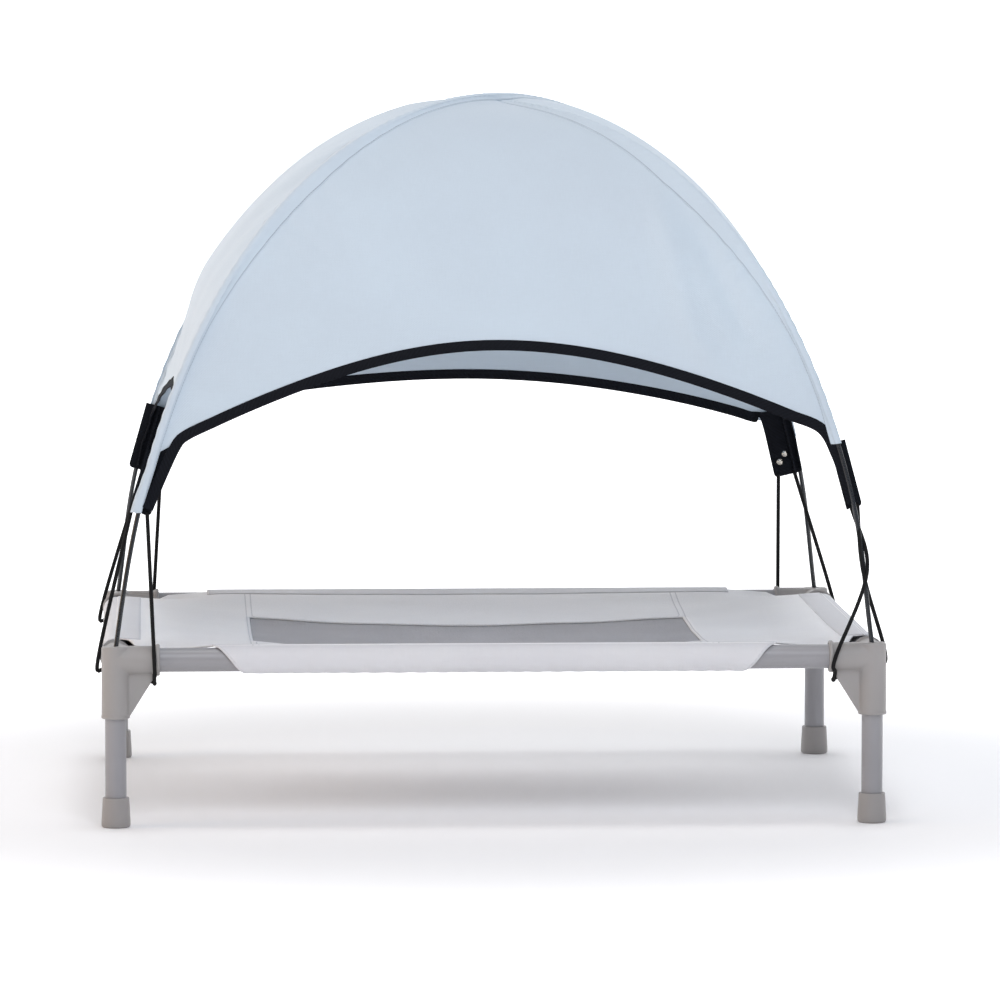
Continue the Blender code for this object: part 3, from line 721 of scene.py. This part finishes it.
def buildPoles():
    for letter, first, second in polePairs:
        path = poleLine(first, second)
        total = lengths(path)[-1]
        stops = [0, total / 3, 2 * total / 3, total]
        for i in range(3):
            node = f"pole_{letter}_section_{i + 1}"
            run = stretchOf(path, stops[i] + 0.0002, stops[i + 1] - 0.0002, 0.006)
            rod = makeSolid(f"poleRod_{letter}_{i + 1}", [ropePart(run, poleShape["radius"], 16)], poleRod)
            settle(rod, "canopy", node)
        for i in (1, 2):
            run = stretchOf(path, stops[i] - 0.02, stops[i] + 0.02, 0.003)
            cuff = makeSolid(f"poleFerrule_{letter}_{i}", [ropePart(run, 0.0033, 20)], nickelPlate)
            settle(cuff, "canopy", f"pole_{letter}_ferrule_{i}")
    print("poles made")


buildPoles()


# the canopy's cloth: each gore is ruled between two pole halves, and bound along its arched hem;
# peak and drops are its hem's height in the middle and its fall towards each pole
poleLong = 0.62    # metres along a pole half for each unit of t, nearly

gores = {
    "front": {"between": ("front_left", "front_right"), "peak": 0.4895, "drops": (0.110, 0.094),
              "bulge": 0.0},
    "rear": {"between": ("rear_left", "rear_right"), "peak": 0.4270, "drops": (0.043, 0.064),
             "bulge": 0.0},
    "left": {"between": ("front_left", "rear_left"), "peak": 0.4370, "drops": (0.060, 0.050),
             "bulge": 0.021, "hemPull": 0.004},
    "right": {"between": ("front_right", "rear_right"), "peak": 0.4520, "drops": (0.067, 0.067),
              "bulge": 0.012, "hemPull": 0.002},
}
# heights: sides swell from swellZ up, puckers grow from puckerZ down, each over the length beside it
clothShape = {
    "thick": 0.0006, "topT": 0.985, "bridgeT": 0.955, "swellZ": 0.43, "swellOver": 0.14,
    "puckerZ": 0.66, "puckerOver": 0.09, "puckerPitch": 0.021, "puckerReach": 0.034,
    "pocketR": 0.0041, "pocketFade": 0.050, "tapeWide": 0.0113, "tapeThick": 0.0019,
}
puckerHigh = {"front_left": 0.0024, "front_right": 0.0009, "rear_left": 0.0013, "rear_right": 0.0012}
# each pocket's half width: heights on the pole, and the widths there on the left and right poles
seamWidths = {
    "z": (0.490, 0.515, 0.550, 0.600, 0.660, 0.700, 0.730),
    "left": (0.0055, 0.0060, 0.0085, 0.0120, 0.0145, 0.0110, 0.0085),
    "right": (0.0055, 0.0068, 0.0100, 0.0155, 0.0195, 0.0140, 0.0090),
}
# where each pocket ends, its half width there, its radius there and how far it swings outwards
pocketEnds = {
    "front_left": (0.3240, 0.0034, 0.0050, 0.0034),
    "front_right": (0.3920, 0.0080, 0.0040, 0.0),
    "rear_left": (0.3600, 0.0070, 0.0036, 0.0),
    "rear_right": (0.3600, 0.0070, 0.0036, 0.0),
}
# each hem's tail beside a pole: its outer edge's gap from the pole at the bend and at the tip, and
# the tip's height
tails = {
    "front": {"front_left": (0.0245, 0.0140, 0.3262), "front_right": (0.0105, 0.0065, 0.3300)},
    "rear": {"rear_left": (0.0345, 0.0315, 0.3297), "rear_right": (0.0315, 0.0285, 0.3232)},
    "left": {"front_left": (0.0150, 0.0130, 0.3262), "rear_left": (0.0150, 0.0130, 0.3297)},
    "right": {"front_right": (0.0150, 0.0130, 0.3300), "rear_right": (0.0150, 0.0130, 0.3232)},
}


def seamWidth(corner, t):
    # half width of the pocket at t on one pole half, measured square to the pole
    widths = seamWidths["left" if corners[corner][0] < 0 else "right"]
    return np.interp(np.interp(t, tableT, heightTable[corner]), seamWidths["z"], widths)


def clothBase(side, u, t):
    # a point of the smooth gore: a straight line between two poles, swollen outwards on the sides but
    # drawn in a little at the taut hem
    c = clothShape
    gore = gores[side]
    a, b = (poleHalf(corner, t) for corner in gore["between"])
    point = a + (b - a) * u[..., None]
    if gore["bulge"]:
        rise = eased((a[..., 2] - c["swellZ"]) / c["swellOver"])
        swell = gore["bulge"] * rise - gore["hemPull"] * (1 - rise)
        fade = np.minimum(1.0, (1 - t) * 5) * 4 * u * (1 - u) * swell
        point = point + fade[..., None] * np.array([-1.0 if side == "left" else 1.0, 0, 0.25])
    return point


outwardOf = {"front": (0, -1, 0.4), "rear": (0, 1, 0.4), "left": (-1, 0, 0.4), "right": (1, 0, 0.4)}


def clothNormal(side, u, t):
    step = 0.003
    across = clothBase(side, np.minimum(u + step, 1), t) - clothBase(side, np.maximum(u - step, 0), t)
    up = clothBase(side, u, np.minimum(t + step, 1)) - clothBase(side, u, np.maximum(t - step, 0))
    normal = unit(np.cross(across, up))
    flip = np.sign(np.sum(normal * np.array(outwardOf[side]), axis=-1, keepdims=True))
    return normal * np.where(flip == 0, 1, flip)


def seamPlaces(side, u, t):
    # for each of the two poles: a point's distance square to the pole, and how far up the pole the
    # foot of that square lies, in metres
    gore = gores[side]
    a, b = (poleHalf(corner, t) for corner in gore["between"])
    chord = np.linalg.norm(b - a, axis=-1)
    step = 0.003
    places = []
    for corner, share, way in zip(gore["between"], (u, 1 - u), (1, -1)):
        run = unit(poleHalf(corner, np.minimum(t + step, 1)) - poleHalf(corner, np.maximum(t - step, 0)))
        level = way * unit(b - a)
        lean = np.linalg.norm(np.cross(run, level), axis=-1)
        places.append((share * chord * lean, t * poleLong + share * chord * np.sum(run * level, axis=-1)))
    return places


def seamGap(side, u, t):
    return [place[0] for place in seamPlaces(side, u, t)]


def clothWrinkle(side, u, t):
    # short puckers that leave each stitch line square to it and die out, and a few long soft folds
    c = clothShape
    base = clothBase(side, u, t)
    total = np.zeros(np.shape(u))
    for corner, (gap, along) in zip(gores[side]["between"], seamPlaces(side, u, t)):
        seed = {"front_left": 1, "front_right": 2, "rear_left": 3, "rear_right": 5}[corner]
        wave = np.sin(2 * math.pi * along / c["puckerPitch"] + 2.4 * np.sin(along * 23 + seed)
                      + 1.1 * np.sin(along * 61 + 2 * seed))
        low = np.clip((c["puckerZ"] - base[..., 2]) / c["puckerOver"], 0, 1)
        strength = (0.5 + 0.5 * np.sin(along * 17 + seed * 1.7)) * (0.15 + 0.85 * low)
        past = gap - seamWidth(corner, t)
        fade = np.where(past < 0, np.exp(past / 0.005), np.exp(-past / c["puckerReach"]))
        start = np.clip(gap / 0.006, 0, 1)
        total = total + puckerHigh[corner] * wave * strength * fade * start
    long = 0.0012 * smoothNoise(base[..., 0] + 3 * base[..., 1], base[..., 2], len(side), 0.30)
    folds = np.zeros(np.shape(u))
    if side == "front":
        x, z = base[..., 0], base[..., 2]
        for low, top, turnZ, slopeBelow, slopeAbove, high, wide in foldList:
            centre = foldX + (turnZ - z) * np.where(z > turnZ, slopeAbove, slopeBelow)
            clear = z - np.maximum(low, hemHeight(side, u, 0.008))
            span = np.clip(clear / 0.04, 0, 1) * np.clip((top - z) / 0.06, 0, 1)
            folds = folds + high * np.exp(-((x - centre) / wide) ** 2) * span
    near = np.clip(np.minimum(*seamGap(side, u, t)) / 0.02, 0, 1)
    return total + (long + folds) * near


# long folds of the front panel near its right pole: low z, top z, the z where each is at foldX, its
# slope in x below and above that z, height and width
foldX = 0.208
foldList = [
    (0.425, 0.665, 0.508, 0.63, 0.23, 0.0032, 0.015),
    (0.480, 0.650, 0.635, 0.44, 0.44, -0.0034, 0.014),
]


def clothPoint(side, u, t):
    return clothBase(side, u, t) + clothNormal(side, u, t) * clothWrinkle(side, u, t)[..., None]


def hemHeight(side, u, above=0.0):
    gore = gores[side]
    drop = np.where(np.asarray(u) < 0.5, *gore["drops"])
    return gore["peak"] - drop * (2 * u - 1) ** 2 + above


def buildGore(side):
    c = clothShape
    first, second = gores[side]["between"]
    cols = 220 if side in ("front", "rear") else 180
    # columns closer together towards both poles
    s = np.linspace(0, 1, cols)
    u = 0.5 - 0.5 * np.cos(math.pi * s) * (0.8 + 0.2 * np.abs(np.cos(math.pi * s)))
    u = 0.006 + 0.988 * u
    low = tAtHeight(first, hemHeight(side, u, 0.004))
    v = np.linspace(0, 1, 170)[:, None]
    t = low[None, :] + (c["topT"] - low[None, :]) * v
    uu = np.broadcast_to(u[None, :], t.shape)
    points = clothPoint(side, uu, t)
    chord = np.linalg.norm(poleHalf(second, t) - poleHalf(first, t), axis=-1)
    flat = np.stack([(uu - 0.5) * chord, t * poleLong], -1)
    gaps = seamGap(side, uu, t)
    past = np.minimum(gaps[0] - seamWidth(first, t), gaps[1] - seamWidth(second, t))
    seam = np.stack([t * poleLong, np.maximum(past + c["tapeWide"], 0)], -1)
    part = {"points": points, "faces": gridFaces(*t.shape).tolist(), "cloth": flat, "seam": seam}
    gore = makePiece("canopyGore_" + side, [part], canopyCloth)
    turnOutwards(gore, side)
    solidify(gore, c["thick"])
    settle(gore, "canopy", "gore_" + side)


def turnOutwards(obj, side):
    # flips an open sheet whose faces look inwards
    away = Vector(outwardOf[side])
    if sum(face.normal.dot(away) * face.area for face in obj.data.polygons) < 0:
        obj.data.flip_normals()


for side in gores:
    buildGore(side)
print("gores made")


def hemLine(side):
    # the hem's lower edge as (u, t): up one tail beside a pole, along the arch, down the other tail
    controls = []
    for end, corner in enumerate(gores[side]["between"]):
        bend, tip, low = tails[side][corner]
        share = np.linspace(0, 0.3, 400)
        u = share if end == 0 else 1 - share
        gaps = seamGap(side, u, tAtHeight(corner, hemHeight(side, u)))[end]
        start = float(np.interp(bend + 0.006, gaps, share))
        top = float(hemHeight(side, start))
        z = np.array([low, (low + top - 0.010) / 2, top - 0.010])
        gap = np.array([tip, (tip + bend) / 2, bend])
        t = tAtHeight(corner, z)
        wide = seamGap(side, np.full(3, 1.0 - end), t)[end]
        controls.append((start, np.stack([np.abs(end - gap / wide), t], 1)))
    (startA, tailA), (startB, tailB) = controls
    u = np.linspace(startA, 1 - startB, 27)
    arch = np.stack([u, tAtHeight(gores[side]["between"][0], hemHeight(side, u))], 1)
    line = np.vstack([tailA, arch, tailB[::-1]])
    scale = np.array([0.7, poleLong, 1.0])    # to metres, nearly, so that the steps are even
    line = evenly(softly(np.column_stack([line, np.zeros(len(line))]) * scale, 12), 0.0022) / scale
    return line[:, 0], line[:, 1]


def buildHem(side):
    # tape folded over the hem: a flat loop of tapeWide by tapeThick carried along the hem's edge
    c = clothShape
    u, t = hemLine(side)
    edge = clothPoint(side, u, t)
    normal = clothNormal(side, u, t)
    tangent = unit(np.gradient(edge, axis=0))
    rise = np.cross(normal, tangent)
    rise = rise * np.sign(rise[len(rise) // 2, 2])
    half = c["tapeThick"] / 2
    section = []
    for angle in np.radians(np.linspace(180, 360, 9)):
        section.append((half * 0.9 + half * 0.9 * math.sin(angle), half * math.cos(angle)))
    for share in np.linspace(0.2, 1, 8):
        section.append((c["tapeWide"] * share, half * (1 - 0.25 * share)))
    for share in np.linspace(1, 0.2, 8):
        section.append((c["tapeWide"] * share + (0.0002 if share == 1 else 0), -half * (1 - 0.25 * share)))
    section = np.array(section)
    points = (
        edge[:, None] + section[None, :, 0, None] * rise[:, None]
        + section[None, :, 1, None] * normal[:, None])
    uv = sideBySide(lengths(edge)[:, None], lengths(section)[None, :])
    part = {"points": points, "faces": tubeFaces(len(u), len(section)), "cloth": uv}
    tape = makeSolid("hemTape_" + side, [part], hemTape)
    settle(tape, "canopy", "hem_tape_" + side)


for side in gores:
    buildHem(side)
print("hem tapes made")


outerCount = 18    # the last point of the outer face, of the points round a pocket's section


def pocketHalf(corner, t, sides):
    # closed sections of the pole pocket over one pole half: out over the pole from one stitch line
    # to the other, and back inside; one ring of points for each t
    c = clothShape
    axis = poleHalf(corner, t)
    endZ, endReach, endR, swing = pocketEnds[corner]
    near = eased(1 - (axis[:, 2] - endZ) / c["pocketFade"])
    gather = 0.0003 * np.sin(t * poleLong * 2 * math.pi / 0.0105 + 2 * np.sin(t * 40)) * (1 - near)
    r = c["pocketR"] + (endR - c["pocketR"]) * near + gather
    wide = seamWidth(corner, t)
    reach = wide + (endReach - wide) * near
    shift = np.array([corners[corner][0], 0.0, 0.0]) * (swing * near)[:, None]
    rings = []
    wings = []
    for side in sides:
        a, b = (poleHalf(name, t) for name in gores[side]["between"])
        chord = np.linalg.norm(b - a, axis=-1)
        run = unit(np.gradient(axis, axis=0))
        lean = np.linalg.norm(np.cross(run, unit(b - a)), axis=-1)
        starts = gores[side]["between"][0] == corner

        def at(d, lift, side=side, chord=chord, lean=lean, starts=starts):
            share = np.minimum(d / np.maximum(chord * lean, 1e-6), 0.49)
            u = share if starts else 1 - share
            return clothPoint(side, u, t) + clothNormal(side, u, t) * np.reshape(lift, (-1, 1))
        wings.append((at, clothNormal(side, np.full_like(t, 0.02 if starts else 0.98), t)))
    (one, normalOne), (two, normalTwo) = wings
    tangentAt = np.minimum(r * r / reach, reach * 0.42)
    outer = [(reach, 0.0005), (reach * 0.99, 0.0008), (reach * 0.8, 0.0012), (reach * 0.6, 0.0018),
             (reach * 0.42, 0.0025), (tangentAt + 0.0010, r * 0.94)]
    for d, lift in outer:
        rings.append(one(d, lift))
    for share in np.linspace(0, 1, 7):
        mixed = unit(normalOne * (1 - share) + normalTwo * share)
        rings.append(axis + shift + mixed * r[:, None])
    for d, lift in outer[::-1]:
        rings.append(two(d, lift))
    inner = [(reach, -0.0005), (reach * 0.7, -0.0010), (reach * 0.45, -0.0018)]
    for d, lift in inner:
        rings.append(two(d, lift))
    inward = -unit(normalOne + normalTwo)
    rings.append(axis + shift + inward * r[:, None] * 1.25)
    for d, lift in inner[::-1]:
        rings.append(one(d, lift))
    return np.stack(rings, axis=1)


# the two gores that meet at each pole half, in the same order on both halves of a pole
pocketSides = {
    "front_left": ("front", "left"), "rear_right": ("right", "rear"),
    "front_right": ("front", "right"), "rear_left": ("left", "rear"),
}


def buildPockets():
    for letter, first, second in polePairs:
        last = clothShape["bridgeT"]
        up = np.linspace(float(tAtHeight(first, pocketEnds[first][0])), last, 250)
        down = np.linspace(float(tAtHeight(second, pocketEnds[second][0])), last, 250)
        rings = [pocketHalf(first, up, pocketSides[first]),
                 pocketHalf(second, down, pocketSides[second])[::-1]]
        # over the crossing the section stays square to the pole, and eases from one end's to the other's
        over = np.linspace(last, 1, 12)[1:]
        line = np.concatenate([poleHalf(first, over), poleHalf(second, over[::-1])[1:]])
        share = (lengths(line) / lengths(line)[-1])[:, None, None]
        ends = [rings[0][-1] - poleHalf(first, up[-1:]), rings[1][0] - poleHalf(second, down[-1:])]
        bridge = line[:, None] + ends[0] * (1 - share) + ends[1] * share
        rings = np.concatenate([rings[0], bridge, rings[1]])
        about = lengths(rings[len(up) // 2])
        far = lengths(rings.mean(axis=1))
        fromStitch = np.minimum(about, np.abs(about - about[outerCount]))
        uv = sideBySide(far[:, None], about[None, :])
        seam = sideBySide(far[:, None], fromStitch[None, :])
        part = {"points": rings, "faces": tubeFaces(*rings.shape[:2]), "cloth": uv, "seam": seam}
        pocket = makeSolid("polePocket_" + letter, [part], canopyCloth)
        settle(pocket, "canopy", f"pole_{letter}_sleeve")
    print("pole pockets made")


buildPockets()


# corner tabs, rivets and elastic loops

# by corner: wing width along the front or rear gore, and how far that wing passes the pole
tabWings = {
    "front_left": (0.0135, 0.0085), "front_right": (0.0080, 0.0085),
    "rear_left": (0.0335, 0.0080), "rear_right": (0.0305, 0.0015),
}
tabShape = {
    "sideWide": 0.0150, "thick": 0.0022, "in": 0.0072, "corner": 0.004,
    "heights": {"front_left": (0.3255, 0.3880), "front_right": (0.3280, 0.3960),
                "rear_left": (0.3290, 0.4010), "rear_right": (0.3225, 0.3960)},
}
# two rivets on each tab, across and up from the pole's line at its bottom
rivetPlaces = {
    "front_left": ((0.0085, 0.0140), (0.0085, 0.0240)), "front_right": ((0.0010, 0.0140), (0.0010, 0.0240)),
    "rear_left": ((0.0235, 0.0168), (0.0145, 0.0246)), "rear_right": ((0.0210, 0.0168), (0.0135, 0.0246)),
}
# where the ends of each loop hang, across its tab from the pole
loopEnds = {
    "front_left": (0.0085, -0.0075), "front_right": (0.0030, -0.0042),
    "rear_left": (0.0280, 0.0080), "rear_right": (0.0255, 0.0080),
}


def wingAxes(corner, z, way):
    # at a height on the pole: its point, then directions across the wing, up the pole and inward
    sx, sy = corners[corner]
    t = tAtHeight(corner, z)
    here = poleHalf(corner, t)
    up = unit(poleHalf(corner, t + 0.01) - poleHalf(corner, t - 0.01))
    across = unit(way - up * (way @ up))
    inward = np.cross(across, up)
    return here, across, up, inward * (1 if inward[:2] @ np.array([-sx, -sy]) > 0 else -1)


def tabPart(origin, across, up, inward, low, wide, high, curl):
    # a flat wing with rounded lower corners and a slight outward curl, as one closed thin block
    s = tabShape
    rows = np.linspace(0, 1, 26)[:, None] ** 1.4
    cols = np.linspace(0, 1, 22)[None, :]
    y = rows * high
    drop = np.clip(1 - y / s["corner"], 0, 1)
    trim = s["corner"] * (1 - np.sqrt(1 - drop ** 2))
    x = (low + trim) + (wide - low - 2 * trim) * cols
    lift = curl * np.sin(math.pi * cols) * (0.4 + 0.6 * rows) - 0.5 * curl
    sheets = []
    for half in (s["thick"] / 2, -s["thick"] / 2):
        sheets.append(origin + x[..., None] * across + (y + 0 * x)[..., None] * up
                      + (lift + half + 0 * x)[..., None] * inward)
    n, m = x.shape
    top = gridFaces(n, m)
    rim = np.concatenate([np.arange(m), np.arange(1, n) * m + m - 1,
                          (n - 1) * m + np.arange(m - 2, -1, -1), np.arange(n - 2, 0, -1) * m])
    wall = np.stack([rim, np.roll(rim, -1), np.roll(rim, -1) + n * m, rim + n * m], 1)
    faces = np.concatenate([top[:, ::-1], top + n * m, wall]).tolist()
    uv = sideBySide(y + 0 * x, x)
    return {"points": np.stack(sheets), "faces": faces, "cloth": np.stack([uv, uv])}


def buildTab(corner):
    s = tabShape
    sx, sy = corners[corner]
    bottom, top = s["heights"][corner]
    wide, beyond = tabWings[corner]
    parts = []
    for number, way in enumerate(((-sx, 0, 0), (0, -sy, 0))):
        here, across, up, inward = wingAxes(corner, (bottom + top) / 2, np.array(way, float))
        high = (top - bottom) / up[2]
        origin = here + inward * s["in"] - up * high / 2
        low, far = (-beyond, wide) if number == 0 else (s["in"] - s["thick"] / 2, s["sideWide"])
        parts.append(tabPart(origin, across, up, inward, low, far, high, 0.0012 if number == 0 else 0.0004))
        if number == 0:
            ends = [origin + across * place for place in loopEnds[corner]]
            for rivet, (a, b) in enumerate(rivetPlaces[corner]):
                buildRivet(f"{corner}_{rivet + 1}", origin + across * a + up * b, inward)
    tab = makeSolid("cornerTab_" + corner, parts, hemTape)
    settle(tab, "canopy", "tab_" + corner)
    buildLoop(corner, ends, up)


def buildRivet(name, centre, inward):
    # a pressed cap with a domed face, its pin, and a flat head behind
    face = 0.0015
    profile = [(0.0001, face + 0.0026), (0.0008, face + 0.00255), (0.0016, face + 0.0023),
               (0.0024, face + 0.0019), (0.0031, face + 0.0014), (0.0037, face + 0.0007),
               (0.0040, face + 0.0002), (0.0038, face), (0.0016, face), (0.0016, -face),
               (0.0028, -face), (0.0028, -face - 0.0006), (0.0001, -face - 0.0006)]
    rivet = makeSolid("tabRivet_" + name, [turnedPart(profile, centre, inward, 24)], nickelPlate)
    settle(rivet, "canopy", "rivet_" + name)


loopShape = {"radius": 0.0021, "reach": 0.0402, "low": 0.1490, "twistZ": 0.262, "twistOut": 0.0052}


def buildLoop(corner, ends, up):
    # down outside one arm, under its web, across the inside, under the other web and up again
    s = loopShape
    sx, sy = corners[corner]
    base = np.array([sx * legX, sy * legY, 0.0])
    armOut = fittingShape["armR"] + s["radius"] + 0.0007
    h, low = s["reach"], s["low"]

    def local(p, q, z):
        return base + np.array([-sx * p, -sy * q, z])

    starts = [end + up * 0.004 for end in ends]
    crossings = [[], []]
    if corner == "front_right":    # its two strands cross over each other outside the pole
        pole = poleHalf(corner, tAtHeight(corner, s["twistZ"]))
        out = unit(np.array([0.15 * sx, sy, 0.0]))
        aside = np.array([-out[1], out[0], 0.0]) * s["radius"] * 1.05
        crossings = [[pole + out * s["twistOut"] + aside], [pole + out * s["twistOut"] - aside]]
    path = [
        starts[0], *crossings[0], local(h, -armOut, railZ + 0.001), local(h, -0.0125, low + 0.0100),
        local(h, 0.0, low), local(h - 0.0010, 0.0085, low + 0.0005), local(0.0240, 0.0240, low + 0.003),
        local(0.0085, h - 0.0010, low + 0.0005), local(0.0, h, low), local(-0.0125, h, low + 0.0100),
        local(-armOut, h, railZ + 0.001), *crossings[1], starts[1]]
    rope = makeSolid("elasticLoop_" + corner, [ropePart(evenly(softly(path, 40), 0.0022), s["radius"], 12)],
                     loopElastic)
    settle(rope, None, "elastic_loop_" + corner)
    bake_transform(rope)


for corner in corners:
    buildTab(corner)
print("tabs, rivets and loops made")


# floor, light and camera

stageLook = {
    "color": "f5f5f6", "glowNear": 0.08, "glowFar": 1.0, "near": 0.55, "far": 1.6, "wallY": 7.0, "bend": 3.0,
    "worldColor": "f1f4fa", "worldStrength": 0.34,
    "cameraPlace": (-0.3577, -7.2278, 0.9004), "cameraYaw": 3.0, "cameraPitch": 4.64, "lens": 242.33,
}
# name, place, aim, size, power, colour
lampList = [
    ("warmLeft", (-3.4, -0.9, 1.3), (0, 0, 0.5), 1.6, 18, "ffc678"),
    ("frontTop", (0.1, -3.2, 2.9), (0, 0, 0.2), 1.7, 50, "f4f7ff"),
    ("topSoft", (0.0, -0.1, 3.2), (0, 0, 0.3), 1.3, 25, "ffffff"),
]


def buildStage():
    # a level floor that bends up into a wall far behind; it glows white away from the object
    s = stageLook
    turn = np.linspace(0, math.pi / 2, 24)
    y = np.concatenate([[-40.0], s["wallY"] + s["bend"] * np.sin(turn), [s["wallY"] + s["bend"]]])
    z = np.concatenate([[0.0], s["bend"] * (1 - np.cos(turn)), [12.0]])
    x = np.array([-30.0, 30.0])
    points = sideBySide(x[None, :], y[:, None], z[:, None]).reshape(-1, 3)
    floorMesh = bpy.data.meshes.new("floor")
    floorMesh.from_pydata(points.tolist(), [], gridFaces(len(y), 2)[:, ::-1].tolist())
    floorMesh.shade_smooth()
    floor = placed("floor", floorMesh)
    mat, tree, shader = startMaterial("paleFloor", {"color": s["color"], "Roughness": 0.9})
    away = add(tree, "ShaderNodeVectorMath", {
        0: add(tree, "ShaderNodeTexCoord").outputs["Object"]}, operation="LENGTH").outputs["Value"]
    glow = add(tree, "ShaderNodeMapRange", {
        0: away, 1: s["near"], 2: s["far"], 3: s["glowNear"], 4: s["glowFar"],
    }, interpolation_type="SMOOTHSTEP")
    shader.inputs["Emission Color"].default_value = linear(s["color"])
    tree.links.new(glow.outputs[0], shader.inputs["Emission Strength"])
    floorMesh.materials.append(mat)
    world = bpy.data.worlds.new("studio")
    bpy.context.scene.world = world
    world.use_nodes = True
    back = world.node_tree.nodes["Background"]
    back.inputs[0].default_value = linear(s["worldColor"])
    back.inputs[1].default_value = s["worldStrength"]
    for name, place, aim, size, power, color in lampList:
        data = bpy.data.lights.new(name, "AREA")
        data.shape = "DISK"
        data.size = size
        data.energy = power
        data.color = linear(color)[:3]
        lamp = placed(name, data)
        lamp.location = place
        lamp.rotation_euler = (Vector(aim) - Vector(place)).to_track_quat("-Z", "Y").to_euler()
    data = bpy.data.cameras.new("camera")
    data.lens = s["lens"]
    camera = placed("camera", data)
    camera.location = s["cameraPlace"]
    camera.rotation_euler = (math.radians(90 - s["cameraPitch"]), 0, math.radians(-s["cameraYaw"]))
    bpy.context.scene.camera = camera
    bpy.context.scene.view_settings.view_transform = "Standard"
    print("stage made")


buildStage()
